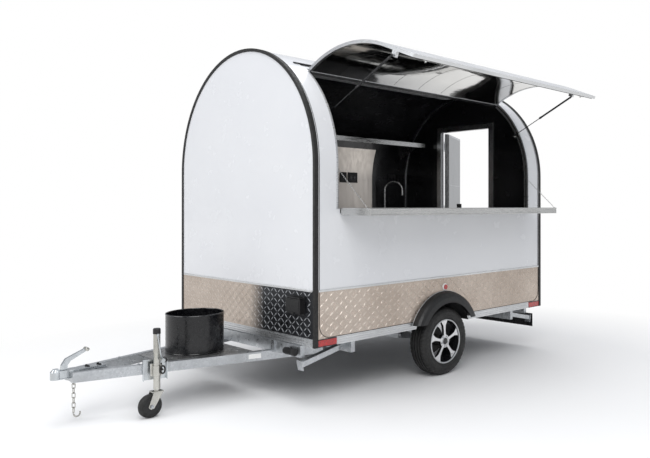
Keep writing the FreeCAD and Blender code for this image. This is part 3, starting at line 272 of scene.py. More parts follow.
def plastic(name, colour, roughness, spread=0.12, coat=0.0):
    """Moulded plastic or paint with a faint orange-peel and a slight drift of tone."""
    made = Surface(name, colour, roughness, coat=coat)
    made.tinted(6, tuple(min(1, c * 1.5 + 0.002) for c in colour), 0.6)
    made.rough(40, roughness - spread / 2, roughness + spread)
    return made.grain(350, 0.0003, strength=0.4).material


def rubber(name, dust):
    """Black rubber, greyed a little with dust in patches."""
    made = Surface(name, (0.007, 0.007, 0.007), 0.6)
    made.tinted(14, (dust, dust * 0.97, dust * 0.92), 0.8)
    return made.rough(50, 0.48, 0.75).grain(240, 0.0006, strength=0.5).material


def alloy():
    """Rim: turned bright metal where it faces out, gloss black on every other side."""
    made = Surface("alloy_rim", (0.008, 0.008, 0.009), 0.2, coat=0.6)
    facing = made.node("NewGeometry")
    split = made.node("SeparateXYZ")
    made.link(facing.outputs["Normal"], split.inputs["Vector"])
    flat = made.node("Math", operation="ABSOLUTE")
    made.link(split.outputs["Y"], flat.inputs[0])
    mask = made.ramp(flat.outputs[0], 0, 1, 0.93, 0.97)
    bright = made.mixed(made.ramp(made.noise(120), 0, 1), (0.60, 0.60, 0.61), (0.74, 0.74, 0.75))
    made.link(made.mixed(mask, made.colour, bright), made.shader.inputs["Base Color"])
    made.link(mask, made.shader.inputs["Metallic"])
    return made.grain(300, 0.0003, strength=0.4).material


def lens(name, colour):
    """Ribbed lamp lens or prismatic reflector."""
    made = Surface(name, colour, 0.15, coat=0.8)
    cells = made.node("TexVoronoi", Scale=260.0)
    made.link(made.place, cells.inputs["Vector"])
    made.tinted(60, tuple(c * 0.55 for c in colour), 1.0)
    return made.bump(cells.outputs["Distance"], 0.001, 0.8).material


def floor_sheet():
    """Vinyl sheet on plywood: grey flecks, scuffed."""
    made = Surface("floor_sheet", (0.05, 0.05, 0.053), 0.5)
    return made.tinted(160, (0.11, 0.11, 0.115), 1.0).rough(14, 0.35, 0.6).grain(180, 0.0006).material


PAINT = {
    "shell": shell_paint(),
    "stainless": steel("stainless", (0.62, 0.62, 0.61), 0.16, 0.34),
    # Splash sheet: its warm bright colour is a painted reflection, not the steel's own tone.
    "steel_painted_warm_reflection": steel("splash_steel", (0.80, 0.74, 0.68), 0.30, 0.42, (1, 1, 0.05), 90.0, 0.1),
    "aluminium": steel("aluminium_trim", (0.66, 0.67, 0.68), 0.24, 0.42),
    "mirror": mirror_steel(),
    "zinc": galvanised(),
    "plated": bright_zinc("plated_steel", (0.56, 0.55, 0.51)),
    "plated_blue": bright_zinc("plated_steel_cool", (0.60, 0.63, 0.65)),
    # The last colour of each tread is a painted reflection on the front plate by the inlet: near black on the
    # plate, grey on its bars.
    "tread": tread_plate("tread_plate", (0.54, 0.465, 0.405), (0.43, 0.36, 0.305), (0.030, 0.032, 0.036)),
    "tread_crest": tread_plate("tread_crest", (0.62, 0.56, 0.50), (0.52, 0.46, 0.41), (0.42, 0.43, 0.45)),
    "deck": tread_plate("deck_plate", (0.30, 0.30, 0.30), (0.20, 0.20, 0.20), None),
    "black_metal": plastic("black_paint", (0.003, 0.003, 0.004), 0.22),
    "black_plastic": plastic("black_plastic", (0.006, 0.006, 0.0065), 0.42),
    "gloss_black": plastic("gloss_black", (0.003, 0.003, 0.004), 0.16, 0.06, 0.3),
    "opal": plastic("lamp_diffuser", (0.30, 0.30, 0.31), 0.3),
    "white_plastic": plastic("white_plastic", (0.72, 0.72, 0.70), 0.3),
    "trim_rubber": rubber("trim_rubber", 0.012),
    "tyre": rubber("tyre_rubber", 0.018),
    "alloy": alloy(),
    "cast": plastic("cast_iron", (0.03, 0.029, 0.028), 0.6),
    "red": lens("red_lens", (0.50, 0.004, 0.006)),
    "amber": lens("amber_lens", (0.75, 0.18, 0.005)),
    "clear": lens("clear_lens", (0.70, 0.70, 0.70)),
    "floor": floor_sheet(),
}

NODE_PAINT = {
    "shell": ("front_wall", "rear_wall", "left_wall", "right_wall", "opening_pillars", "roof", "canopy_panel",
              "rear_door"),
    "floor": ("floor_panel",),
    "aluminium": ("bottom_rails", "canopy_frame", "door_frame"),
    "mirror": ("canopy_lining",),
    "tread": ("skirt_plates",),
    "deck": ("drawbar_plate",),
    "trim_rubber": ("corner_trims",),
    "black_metal": ("gas_bottle_ring", "rear_board", "strut_cylinder_front", "strut_cylinder_rear",
                    "strut_rod_front", "strut_rod_rear"),
    "black_plastic": ("fenders", "wheel_boxes", "power_sockets", "socket_plates", "door_handles"),
    "stainless": ("serving_shelf", "sink_bench", "serving_counter", "wall_shelf", "sink_tap",
                  "opening_hardware", "shelf_chains"),
    "zinc": ("axle", "chassis_rails", "chassis_members", "drawbar_beams", "steady_front_left",
             "steady_front_right", "steady_rear_left", "steady_rear_right"),
    "plated": ("jockey_fork", "jockey_leg", "jockey_tube"),
    "plated_blue": ("coupler", "coupler_lever", "safety_chain", "jockey_bracket", "jockey_crank"),
    "alloy": ("rim_left", "rim_right"),
    "cast": ("hub_left", "hub_right"),
    "tyre": ("tyre_left", "tyre_right", "jockey_wheel"),
    "red": ("lamps_and_reflectors",),
    "opal": ("ceiling_lamp",),
}


def paint_nodes():
    for key, names in NODE_PAINT.items():
        for name in names:
            mesh = frame["nodes"][name].data
            mesh.materials.clear()
            mesh.materials.append(PAINT[key])


# Mesh pieces


class Piece:
    """Gathers simple forms into one mesh, then bevels it and lets it ride on a body."""

    def __init__(self):
        self.mesh = bmesh.new()

    def hull(self, rings, closed=False, capped=True):
        """Skins a row of rings that all have the same number of points."""
        made = [[self.mesh.verts.new(p) for p in ring] for ring in rings]
        pairs = list(zip(made, made[1:])) + ([(made[-1], made[0])] if closed else [])
        for a, b in pairs:
            for i in range(len(a)):
                j = (i + 1) % len(a)
                self.mesh.faces.new((a[i], a[j], b[j], b[i]))
        if capped and not closed:
            self.mesh.faces.new(list(reversed(made[0])))
            self.mesh.faces.new(made[-1])
        return self

    def box(self, low, high):
        x0, y0, z0 = low
        x1, y1, z1 = high
        rings = [[(x0, y0, z), (x1, y0, z), (x1, y1, z), (x0, y1, z)] for z in (z0, z1)]
        return self.hull([[Vector(p) for p in ring] for ring in rings])

    def tube(self, path, radius, sides=12, closed=False):
        """A round bar along a path; radius is one number or one for each point."""
        path = [Vector(p) for p in path]
        count = len(path)
        radii = radius if isinstance(radius, (list, tuple)) else [radius] * count
        rings = []
        normal = None
        for i, point in enumerate(path):
            before = path[i - 1] if i or closed else path[0]
            after = path[(i + 1) % count] if i + 1 < count or closed else path[-1]
            way = (after - before).normalized()
            if normal is None:
                normal = way.orthogonal().normalized()
            normal = (normal - way * normal.dot(way)).normalized()
            side = way.cross(normal)
            turn = [2 * math.pi * k / sides for k in range(sides)]
            rings.append([point + (normal * math.cos(t) + side * math.sin(t)) * radii[i] for t in turn])
        return self.hull(rings, closed)

    def lathe(self, profile, place, axis=(0, 1, 0), sides=48, ripple=None):
        """Turns a closed outline of (radius, along) points round an axis."""
        axis = Vector(axis)
        u = axis.orthogonal().normalized()
        v = axis.cross(u)
        rings = []
        for k in range(sides):
            t = 2 * math.pi * k / sides
            out = u * math.cos(t) + v * math.sin(t)
            cuts = [ripple(k, r, h) if ripple else 0 for r, h in profile]
            rings.append([place + out * (r - cut) + axis * h for (r, h), cut in zip(profile, cuts)])
        return self.hull(rings, closed=True)

    def bolt(self, place, axis, radius=0.008, height=0.006):
        """A washer with a six-sided head."""
        place, axis = Vector(place), Vector(axis).normalized()
        self.tube([place, place + axis * 0.0015], radius * 1.5, 16)
        return self.tube([place + axis * 0.001, place + axis * height, place + axis * (height + 0.001)],
                         [radius, radius, radius * 0.8], 6)

    def dome(self, place, axis, radius):
        """A low round rivet head."""
        place, axis = Vector(place), Vector(axis).normalized()
        steps = [(0, 1), (0.3, 0.85), (0.45, 0.5), (0.5, 0.12)]
        return self.tube([place + axis * (radius * h) for h, _ in steps], [radius * r for _, r in steps], 10)

    def moved(self, matrix):
        bmesh.ops.transform(self.mesh, matrix=matrix, verts=self.mesh.verts)
        return self

    def bar(self, x0, x1, y, z, radius, sides):
        """A round bar that runs along the trailer."""
        return self.tube([Vector((x0, y, z)), Vector((x1, y, z))], radius, sides)

    def made(self, name, paint, body="trailer", bevel=0.0, sharp=35.0):
        bmesh.ops.recalc_face_normals(self.mesh, faces=self.mesh.faces)
        for edge in self.mesh.edges:
            edge.smooth = edge.calc_face_angle(0) < math.radians(sharp)
        for face in self.mesh.faces:
            face.smooth = True
        data = bpy.data.meshes.new(name)
        self.mesh.to_mesh(data)
        self.mesh.free()
        data.materials.append(PAINT[paint])
        piece = bpy.data.objects.new(name, data)
        bpy.context.scene.collection.objects.link(piece)
        if bevel:
            soft = piece.modifiers.new("edges", "BEVEL")
            soft.width = bevel
            soft.segments = 2
            soft.limit_method = "ANGLE"
            soft.angle_limit = math.radians(40)
        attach(piece, body)
        return piece


def arch_points(radius, low, steps=72, start=-90.0, end=90.0):
    """Points up one side wall, over the roof and down the other, at a radius from the arch's centre."""
    path = []
    if start == -90.0:
        path.append((-radius, low))
    for k in range(steps + 1):
        a = math.radians(start + (end - start) * k / steps)
        path.append((radius * math.sin(a), SPRING + radius * math.cos(a)))
    if end == 90.0:
        path.append((radius, low))
    return path


def arch_strip(piece, x0, x1, outer, inner, low, **span):
    """A flat strip that follows the arch, between two places along the trailer."""
    rings = []
    for (yo, zo), (yi, zi) in zip(arch_points(outer, low, **span), arch_points(inner, low, **span)):
        rings.append([at(x0, yi, zi), at(x1, yi, zi), at(x1, yo, zo), at(x0, yo, zo)])
    return piece.hull(rings)


# Body


def shell_lines():
    """The dark bead beside each corner trim, curving at its foot into the bottom rail."""
    for name, face, way, arch in (("front", -LINE, -1, -1.09), ("rear", LINE - LENGTH, 1, -1.80)):
        arch_strip(Piece(), *sorted((face, face + way * 0.004)), HALF + 0.0022, HALF - 0.001, SKIRT_TOP).made(
            "dark_line_" + name, "trim_rubber")
        low = FLOOR_TOP + 0.005
        for side, sign in (("left", 1), ("right", -1)):
            y = sign * (HALF + 0.0035)
            path = [at(face, y, SKIRT_TOP)]
            for k in range(9):
                a = math.radians(90 * k / 8)
                path.append(at(face + way * CORNER * (1 - math.cos(a)), y, low + CORNER * (1 - math.sin(a))))
            path.append(at(arch, y, low))
            Piece().tube(path, 0.0026, 8).made("corner_bead_%s_%s" % (name, side), "trim_rubber")


def skirt_bars():
    """Raised bars of the tread plate, laid in a lattice on the side, front and rear plates."""
    pitch_along, pitch_up, bar = 0.0475, 0.0375, (0.054, 0.0048, 0.0022)

    def lattice(piece, low, high, place, skip):
        rows = int((high[1] - low[1]) / pitch_up)
        columns = int((high[0] - low[0]) / pitch_along)
        for i in range(columns):
            for k in range(rows):
                u = low[0] + (i + 0.5) * (high[0] - low[0]) / columns
                v = low[1] + (k + 0.5) * (high[1] - low[1]) / rows
                if skip(u, v):
                    continue
                lean = math.radians(40 if (i + k) % 2 else -40)
                along = (math.cos(lean) * bar[0] / 2, math.sin(lean) * bar[0] / 2)
                wide = (-math.sin(lean) * bar[1], math.cos(lean) * bar[1])
                base = [(u + along[0], v + along[1]), (u + wide[0], v + wide[1]),
                        (u - along[0], v - along[1]), (u - wide[0], v - wide[1])]
                crest = [(u + (p - u) * 0.55, v + (q - v) * 0.55) for p, q in base]
                rings = [[place(p, q, 0) for p, q in base], [place(p, q, bar[2]) for p, q in crest]]
                piece.hull(rings)
        return piece

    wheel = centre("tyre_left")
    wheel_x = wheel.x - ORIGIN.x

    def off_side(u, v):
        return math.hypot(u - wheel_x, v - wheel.z) < 0.480

    skin = 0.003
    for name, sign in (("left", 1), ("right", -1)):
        piece = lattice(Piece(), (-2.958, 0.522), (-0.042, 0.862),
                        lambda u, v, h, s=sign: at(u, s * (HALF + skin + h), v), off_side)
        piece.made("skirt_bars_" + name, "tread_crest", sharp=20)
    front = lattice(Piece(), (-0.955, 0.52), (0.955, 0.862), lambda u, v, h: at(skin + h, u, v),
                    lambda u, v: 0.67 < u < 0.895 and 0.665 < v < 0.835)
    front.made("skirt_bars_front", "tread_crest", sharp=20)
    rear = Piece()
    for low, high in ((-0.955, -0.43), (0.43, 0.955)):
        lattice(rear, (low, 0.52), (high, 0.862), lambda u, v, h: at(-LENGTH - skin - h, u, v),
                lambda u, v: False)
    rear.made("skirt_bars_rear", "tread_crest", sharp=20)


def skirt_edges():
    """Cap strips along the top of the skirt and the ribs of the bottom rail."""
    piece = Piece()
    for sign in (1, -1):
        y = sorted((sign * HALF, sign * (HALF + 0.007)))
        piece.box(at(-LENGTH + TRIM_END, y[0], SKIRT_TOP - 0.004), at(-TRIM_END, y[1], SKIRT_TOP + 0.012))
    piece.box(at(0, -0.970, SKIRT_TOP - 0.004), at(0.006, 0.970, SKIRT_TOP + 0.012))
    for low, high in ((-0.970, -0.42), (0.42, 0.970)):
        piece.box(at(-LENGTH - 0.006, low, SKIRT_TOP - 0.004), at(-LENGTH, high, SKIRT_TOP + 0.012))
    piece.made("skirt_caps", "aluminium", bevel=0.0015)
    ribs = Piece()
    for z in (0.455, 0.473, 0.491):
        for sign in (1, -1):
            y = sorted((sign * HALF, sign * (HALF + 0.004)))
            for x0, x1 in ((-2.765, -1.80), (-1.09, -0.215)):
                ribs.box(at(x0, y[0], z), at(x1, y[1], z + 0.010))
        ribs.box(at(0, -0.968, z), at(0.007, 0.968, z + 0.010))
        ribs.box(at(-LENGTH - 0.004, -0.968, z), at(-LENGTH, 0.968, z + 0.010))
    ribs.made("rail_ribs", "aluminium", bevel=0.001)
    rivets = Piece()
    for k in range(20):
        x = -2.90 + k * 2.8 / 19
        for sign in (1, -1):
            rivets.dome(at(x, sign * (HALF + 0.007), SKIRT_TOP + 0.004), (0, sign, 0), 0.004)
    for k in range(13):
        y = -0.93 + k * 1.86 / 12
        rivets.dome(at(0.006, y, SKIRT_TOP + 0.004), (1, 0, 0), 0.004)
    rivets.made("skirt_rivets", "aluminium")


def opening_trim():
    """The bright frame round the serving opening: sill cap, reveals and their drip edge."""
    piece = Piece()
    piece.box(at(OPEN_REAR, 0.950, SILL), at(OPEN_FRONT, 1.002, SILL + 0.003))
    piece.box(at(OPEN_REAR, 0.948, SILL - 0.045), at(OPEN_FRONT, 0.952, SILL + 0.003))
    span = {"start": HINGE_ANGLE + 1.2, "steps": 30}
    for x, sign in ((OPEN_FRONT, 1), (OPEN_REAR, -1)):
        face = sorted((x - sign * 0.002, x + sign * 0.016))
        arch_strip(piece, *face, HALF + 0.002, HALF - 0.0005, SILL, **span)
        arch_strip(piece, *sorted((x, x - sign * 0.002)), HALF + 0.002, HALF - 0.047, SILL, **span)
    piece.made("opening_frame", "aluminium")
    seal = Piece()
    for x, sign in ((OPEN_FRONT, 1), (OPEN_REAR, -1)):
        arch_strip(seal, *sorted((x - sign * 0.002, x - sign * 0.009)), HALF - 0.012, HALF - 0.024, SILL,
                   start=HINGE_ANGLE + 1.5, steps=30)
    seal.made("opening_seal", "trim_rubber")
    gutter = Piece()
    for inset, proud, above, below in ((0.14, 0.010, 4.3, 3.4), (0.20, 0.0035, 3.4, 2.1)):
        arch_strip(gutter, inset - LENGTH, -inset, HALF + proud, HALF - 0.001, SILL,
                   start=HINGE_ANGLE - above, end=HINGE_ANGLE - below, steps=2)
    gutter.made("roof_gutter", "gloss_black", bevel=0.001)


def cabin_lining():
    """Light strip where the ceiling meets each end wall, and the sheet behind the sinks, whose warm bright
    colour is a painted reflection.
    """
    for name, x0, x1 in (("rear", -2.955, -2.943), ("front", -0.057, -0.045)):
        piece = Piece()
        arch_strip(piece, x0, x1, 0.9555, 0.941, 1.50)
        piece.made("cabin_bead_" + name, "aluminium", bevel=0.002)
    sheet = Piece()
    sheet.box(at(-2.38, -0.9545, 1.462), at(-0.09, -0.9520, 1.815))
    for x in (-1.85, -1.32, -0.79):
        sheet.box(at(x - 0.012, -0.9520, 1.462), at(x + 0.012, -0.9505, 1.815))
    # The warm colour of this sheet is a painted reflection.
    sheet.made("splash_sheet", "steel_painted_warm_reflection", bevel=0.0006)
    curved = Piece()
    arch_strip(curved, -2.38, -0.09, 0.9552, 0.9530, 1.80, start=-90.0, end=-68.0, steps=10)
    curved.made("splash_sheet_curved", "steel_painted_warm_reflection")


# Fittings of the body


def side_fittings():
    """Bases and frames of the reflectors and marker lamps, the inlet's lid, and the towing plug's ribs."""
    frames = Piece()
    for x0, x1 in ((-0.206, -0.029), (-2.971, -2.794)):
        for sign in (1, -1):
            y = sorted((sign * HALF, sign * (HALF + 0.0055)))
            frames.box(at(x0, y[0], 0.4505), at(x1, y[1], 0.4565))
            frames.box(at(x0, y[0], 0.5035), at(x1, y[1], 0.5095))
    frames.made("reflector_frames", "black_plastic", bevel=0.001)
    base = Piece()
    wheel = centre("tyre_left")
    for sign in (1, -1):
        ring = [(0.0224, 0.0), (0.032, 0.0), (0.032, 0.006), (0.026, 0.011), (0.0224, 0.011)]
        place = Vector((wheel.x - 0.014, ORIGIN.y + sign * 1.003, 0.784))
        base.lathe(ring, place, (0, sign, 0), 32)
    base.made("marker_bases", "white_plastic", bevel=0.0008)
    low, high = (0.003, 0.700, 0.692), (0.037, 0.865, 0.810)
    lid = Piece()
    lid.box(at(0.036, 0.694, 0.700), at(0.046, 0.871, 0.806))
    lid.box(at(0.045, 0.706, 0.712), at(0.050, 0.859, 0.794))
    lid.tube([at(0.040, 0.700, 0.812), at(0.040, 0.865, 0.812)], 0.005)
    lid.box(at(0.044, 0.768, 0.690), at(0.054, 0.797, 0.704))
    lid.made("inlet_lid", "black_plastic", bevel=0.003)
    flange = Piece()
    flange.box(at(0.003, low[1] - 0.012, low[2] - 0.012), at(0.007, high[1] + 0.012, high[2] + 0.012))
    for y in (low[1] - 0.006, high[1] + 0.006):
        for z in (low[2] - 0.006, high[2] + 0.006):
            flange.bolt(at(0.007, y, z), (1, 0, 0), 0.003, 0.003)
    flange.made("inlet_flange", "black_plastic", bevel=0.001)
    ribs = Piece()
    for k in range(9):
        y = 0.704 + k * 0.0105
        rib = [(0.0235, 0), (0.0262, 0.001), (0.0262, 0.004), (0.0235, 0.005)]
        ribs.lathe(rib, at(0.048, y, 0.402), sides=28)
    ribs.made("plug_ribs", "black_plastic")


def rear_fittings():
    """Lamp lenses in three fields, a blank number plate with its lamp, and the board's bolts."""
    for side, y in (("left", 0.670), ("right", -0.860)):
        x = -LENGTH - 0.022
        fields = (("red", 0.0, 0.080), ("amber", 0.084, 0.134), ("clear", 0.138, 0.186))
        for paint, a, b in fields:
            span = (y + 0.002 + a, y + 0.002 + b) if side == "left" else (y + 0.188 - b, y + 0.188 - a)
            piece = Piece()
            piece.box(at(x - 0.008, span[0], 0.256), at(x + 0.002, span[1], 0.330))
            for k in range(8):
                z = 0.260 + k * 0.0088
                piece.box(at(x - 0.0095, span[0] + 0.003, z), at(x - 0.007, span[1] - 0.003, z + 0.004))
            piece.made("tail_lens_%s_%s" % (paint, side), paint, bevel=0.0015)
        frame_piece = Piece()
        frame_piece.box(at(x - 0.003, y - 0.004, 0.246), at(x + 0.006, y + 0.194, 0.255))
        frame_piece.box(at(x - 0.003, y - 0.004, 0.331), at(x + 0.006, y + 0.194, 0.340))
        frame_piece.made("tail_lamp_frame_" + side, "black_plastic", bevel=0.002)
    plate = Piece()
    plate.box(at(-LENGTH - 0.004, -0.26, 0.236), at(-LENGTH + 0.002, 0.26, 0.346))
    plate.made("number_plate_blank", "white_plastic", bevel=0.001)
    edge = Piece()
    for z in (0.234, 0.344):
        edge.box(at(-LENGTH - 0.006, -0.264, z), at(-LENGTH + 0.002, 0.264, z + 0.005))
    for y in (-0.265, 0.259):
        edge.box(at(-LENGTH - 0.006, y, 0.236), at(-LENGTH + 0.002, y + 0.006, 0.347))
    edge.box(at(-LENGTH - 0.030, -0.05, 0.350), at(-LENGTH + 0.004, 0.05, 0.366))
    edge.made("number_plate_frame", "black_plastic", bevel=0.001)
    bolts = Piece()
    for y in (-0.52, -0.48, 0.48, 0.52):
        for z in (0.310, 0.340):
            bolts.bolt(at(-LENGTH + 0.002, y, z), (-1, 0, 0), 0.006, 0.005)
    bolts.made("rear_board_bolts", "zinc")


def fender_trim():
    """The thin bright bead that runs round each mudguard's edge against the body."""
    wheel = centre("tyre_left")
    radius = 0.4485
    for name, sign in (("left", 1), ("right", -1)):
        path = []
        for k in range(49):
            a = math.radians(24 + k * 132 / 48)
            path.append((wheel.x + radius * math.cos(a), ORIGIN.y + sign * (HALF + 0.0045),
                         wheel.z + radius * math.sin(a)))
        Piece().tube(path, 0.0035, 8).made("fender_bead_" + name, "aluminium")


# Canopy and shelf


def canopy_details():
    """Fine seams of the mirror lining, rivets, the lower seal and two catches on the canopy."""
    lift = swing("canopy_hinge", "X")
    seams = Piece()
    for x in (-0.54, -0.86, -1.18, -1.5, -1.82, -2.14, -2.46):
        arch_strip(seams, x - 0.0015, x + 0.0015, 0.9765, 0.9752, 1.536, start=HINGE_ANGLE + 1.5, steps=30)
    seams.moved(lift).made("canopy_seams", "black_metal", "canopy")
    rivets = Piece()
    for x in (-0.252, -2.748):
        for k in range(14):
            a = math.radians(HINGE_ANGLE + 3 + k * 3.7)
            out = Vector((0, math.sin(a), math.cos(a)))
            rivets.dome(at(x, 0, SPRING) + out * HALF, out, 0.0035)
    rivets.moved(lift).made("canopy_rivets", "aluminium", "canopy")
    seal = Piece()
    seal.tube([at(-2.73, 0.9725, 1.522), at(-0.27, 0.9725, 1.522)], 0.004, 8)
    seal.moved(lift).made("canopy_seal", "trim_rubber", "canopy")
    catches = Piece()
    for x in (-0.42, -2.58):
        catches.box(at(x - 0.030, 0.964, 1.538), at(x + 0.030, 0.9745, 1.568))
        catches.tube([at(x, 0.964, 1.553), at(x, 0.952, 1.553)], 0.007, 12)
    catches.moved(lift).made("canopy_catches", "stainless", "canopy", 0.001)


def strut_fittings():
    """End fittings and dust caps of the gas struts."""
    for name in ("front", "rear"):
        way = Vector(joint("strut_stroke_" + name)["axis"]).normalized()
        top = Vector(joint("strut_swing_" + name)["pos_m"])
        cap = Piece()
        cap.tube([top + way * d for d in (0.395, 0.402, 0.424, 0.4305)], [0.0092, 0.0105, 0.0105, 0.0085], 20)
        cap.tube([top + way * d for d in (0.018, 0.026, 0.040, 0.046)], [0.006, 0.0098, 0.0098, 0.0092], 20)
        cap.made("strut_caps_" + name, "gloss_black", "strut_cylinder_" + name)


def shelf_details():
    """Rolled front edge and rivets of the folding shelf."""
    low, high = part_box("serving_shelf")
    edge = Piece()
    for z, radius in ((high[2] - 0.008, 0.006), (low[2] + 0.005, 0.004)):
        edge.bar(low[0] + 0.014, high[0] - 0.014, high[1] - 0.001, z, radius, 12)
    edge.made("shelf_rolled_edge", "stainless", "serving_shelf")
    rivets = Piece()
    for k in range(18):
        x = low[0] + 0.09 + k * (high[0] - low[0] - 0.18) / 17
        rivets.dome((x, high[1], high[2] - 0.030), (0, 1, 0), 0.0035)
    rivets.made("shelf_rivets", "stainless", "serving_shelf")


def link(piece, place, way, side, length, width, wire):
    """One round-ended chain link, lying along way and open towards side."""
    straight = (length - width) / 2
    half = (width - wire) / 2
    path = []
    for end in (1, -1):
        for k in range(7):
            a = math.radians(-90 + 30 * k) if end == 1 else math.radians(90 + 30 * k)
            path.append(place + way * (end * straight + half * math.cos(a)) + side * (half * math.sin(a)))
    return piece.tube(path, wire / 2, 8, closed=True)


def chain(piece, start, end, length, width, wire):
    """Links from start to end, each turned a quarter against the last."""
    run = end - start
    way = run.normalized()
    side = way.orthogonal().normalized()
    pitch = length - 2 * wire
    count = max(1, round(run.length / pitch))
    for k in range(count):
        turn = side if k % 2 else way.cross(side)
        link(piece, start + run * ((k + 0.5) / count), way, turn, length, width, wire)
    return piece


def shelf_chain_links():
    """The two chains that hold the shelf, as real links."""
    low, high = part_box("shelf_chains")
    for name, x in (("front", high[0] - 0.0025), ("rear", low[0] + 0.0025)):
        top = Vector((x, low[1], high[2]))
        foot = Vector((x, high[1], low[2]))
        piece = chain(Piece(), top, foot, 0.022, 0.0105, 0.0024)
        piece = piece.made("shelf_chain_" + name, "stainless")
        piece.parent = None
        piece.matrix_world = Matrix.Identity(4)
        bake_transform(piece)
        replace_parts(piece, "shelf_chains")


# Door


def door_details():
    """Mirror sheets inside, pressed lines outside, edge frame, hinge strip and lock of the door."""
    open_door = swing("door_hinge", "Z")
    inner = -LENGTH + LEAF
    for k, (z0, z1) in enumerate(((0.556, 1.147), (1.152, 1.762), (1.767, 2.358))):
        sheet = Piece()
        sheet.box(at(inner - 0.001, -0.300, z0), at(inner + 0.0012, 0.334, z1))
        sheet.moved(open_door).made("door_sheet_%d" % k, "mirror", "rear_door", 0.0004)
    strip = Piece()
    strip.box(at(inner - 0.001, -0.338, 0.545), at(inner + 0.003, -0.306, 2.370))
    strip.moved(open_door).made("door_hinge_strip", "trim_rubber", "rear_door", 0.001)
    lines = Piece()
    for z in (0.62, 1.38, 1.56, 2.29):
        lines.box(at(-LENGTH - 0.003, -0.28, z), at(-LENGTH, 0.28, z + 0.006))
    for y in (-0.286, 0.280):
        for z0, z1 in ((0.62, 1.386), (1.56, 2.296)):
            lines.box(at(-LENGTH - 0.003, y, z0), at(-LENGTH, y + 0.006, z1))
    lines.moved(open_door).made("door_pressed_lines", "shell", "rear_door", 0.001)
    edge = Piece()
    for y in (-0.3495, 0.3435):
        edge.box(at(-LENGTH - 0.001, y, 0.537), at(inner + 0.001, y + 0.006, 2.377))
    for z in (0.536, 2.372):
        edge.box(at(-LENGTH - 0.001, -0.349, z), at(inner + 0.001, 0.349, z + 0.006))
    edge.moved(open_door).made("door_edge_frame", "aluminium", "rear_door", 0.001)
    lock = Piece()
    lock.lathe([(0.0, 0.0), (0.012, 0.0), (0.012, 0.004), (0.009, 0.006), (0.0, 0.006)],
               at(-LENGTH - 0.010, 0.289, 1.425), (-1, 0, 0), 24)
    lock.moved(open_door).made("door_lock", "stainless", "rear_door")


# Wheels


def tyre(name):
    """A road tyre with four grooves, cut shoulders and stepped side walls."""
    low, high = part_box("tyre_" + name)
    radius = (high[2] - low[2]) / 2
    place = (Vector(low) + Vector(high)) / 2
    half = (high[1] - low[1]) / 2
    tread = []
    grooves = (-0.046, -0.016, 0.016, 0.046)
    for g in grooves:
        for d, depth in ((-0.0045, 0.0), (-0.0032, 0.007), (0.0032, 0.007), (0.0045, 0.0)):
            tread.append((radius - depth - abs(g) * 0.02, g + d))
    shoulder = [(radius - 0.003, 0.066), (radius - 0.010, 0.078), (radius - 0.024, 0.086),
                (radius - 0.036, 0.0885), (radius - 0.040, half), (radius - 0.062, half),
                (radius - 0.066, half - 0.003), (0.222, half - 0.006), (0.204, half - 0.004),
                (0.198, half - 0.010), (0.196, half - 0.020)]
    profile = [(r, -h) for r, h in reversed(shoulder)] + tread + shoulder

    def cut(k, r, h):
        step = k % 4
        deep = 0.005 if step == (0 if h > 0 else 2) else 0.0
        return deep if 0.050 < abs(h) < 0.087 and r > radius - 0.03 else 0.0

    piece = Piece().lathe(profile, place, sides=192, ripple=cut)
    piece = piece.made("tyre_dressed_" + name, "tyre", "wheel_" + name)
    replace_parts(piece, "tyre_" + name)


def rim_details(name, sign):
    """Centre cap with its ring, bolts, a turned lip and a valve."""
    place = centre("tyre_" + name)
    face = place.y + sign * 0.0785
    axis = Vector((0, sign, 0))
    middle = Vector((place.x, face, place.z))
    dish = [(0.0, -0.006), (0.030, -0.006), (0.030, 0.000), (0.026, 0.006), (0.0, 0.009)]
    cap = Piece().lathe(dish, middle, axis, 40)
    cap.made("wheel_cap_" + name, "gloss_black", "wheel_" + name)
    ring = Piece().lathe([(0.029, -0.004), (0.034, -0.004), (0.033, 0.003), (0.030, 0.003)], middle, axis, 48)
    ring.made("wheel_cap_ring_" + name, "aluminium", "wheel_" + name)
    turned = [(0.184, 0.003), (0.1965, 0.003), (0.1975, 0.0075), (0.194, 0.0105), (0.186, 0.0085)]
    lip = Piece().lathe(turned, middle, axis, 96)
    lip.made("wheel_lip_" + name, "aluminium", "wheel_" + name)
    bolts = Piece()
    for k in range(5):
        a = math.radians(90 + 72 * k + 36)
        spot = middle + Vector((math.cos(a), 0, math.sin(a))) * 0.045 - axis * 0.004
        path = [spot + axis * d for d in (-0.008, 0.006, 0.008)]
        bolts.tube(path, [0.0085, 0.0085, 0.0065], 6)
    bolts.made("wheel_bolts_" + name, "zinc", "wheel_" + name)
    valve = Piece()
    a = math.radians(234)
    out = Vector((math.cos(a), 0, math.sin(a)))
    root = middle + out * 0.176 - axis * 0.020
    path = [root, root - out * 0.012 + axis * 0.012, root - out * 0.020 + axis * 0.022]
    valve.tube(path, [0.005, 0.004, 0.0045], 10)
    valve.made("wheel_valve_" + name, "trim_rubber", "wheel_" + name)


# Drawbar, coupler, chain and jockey wheel


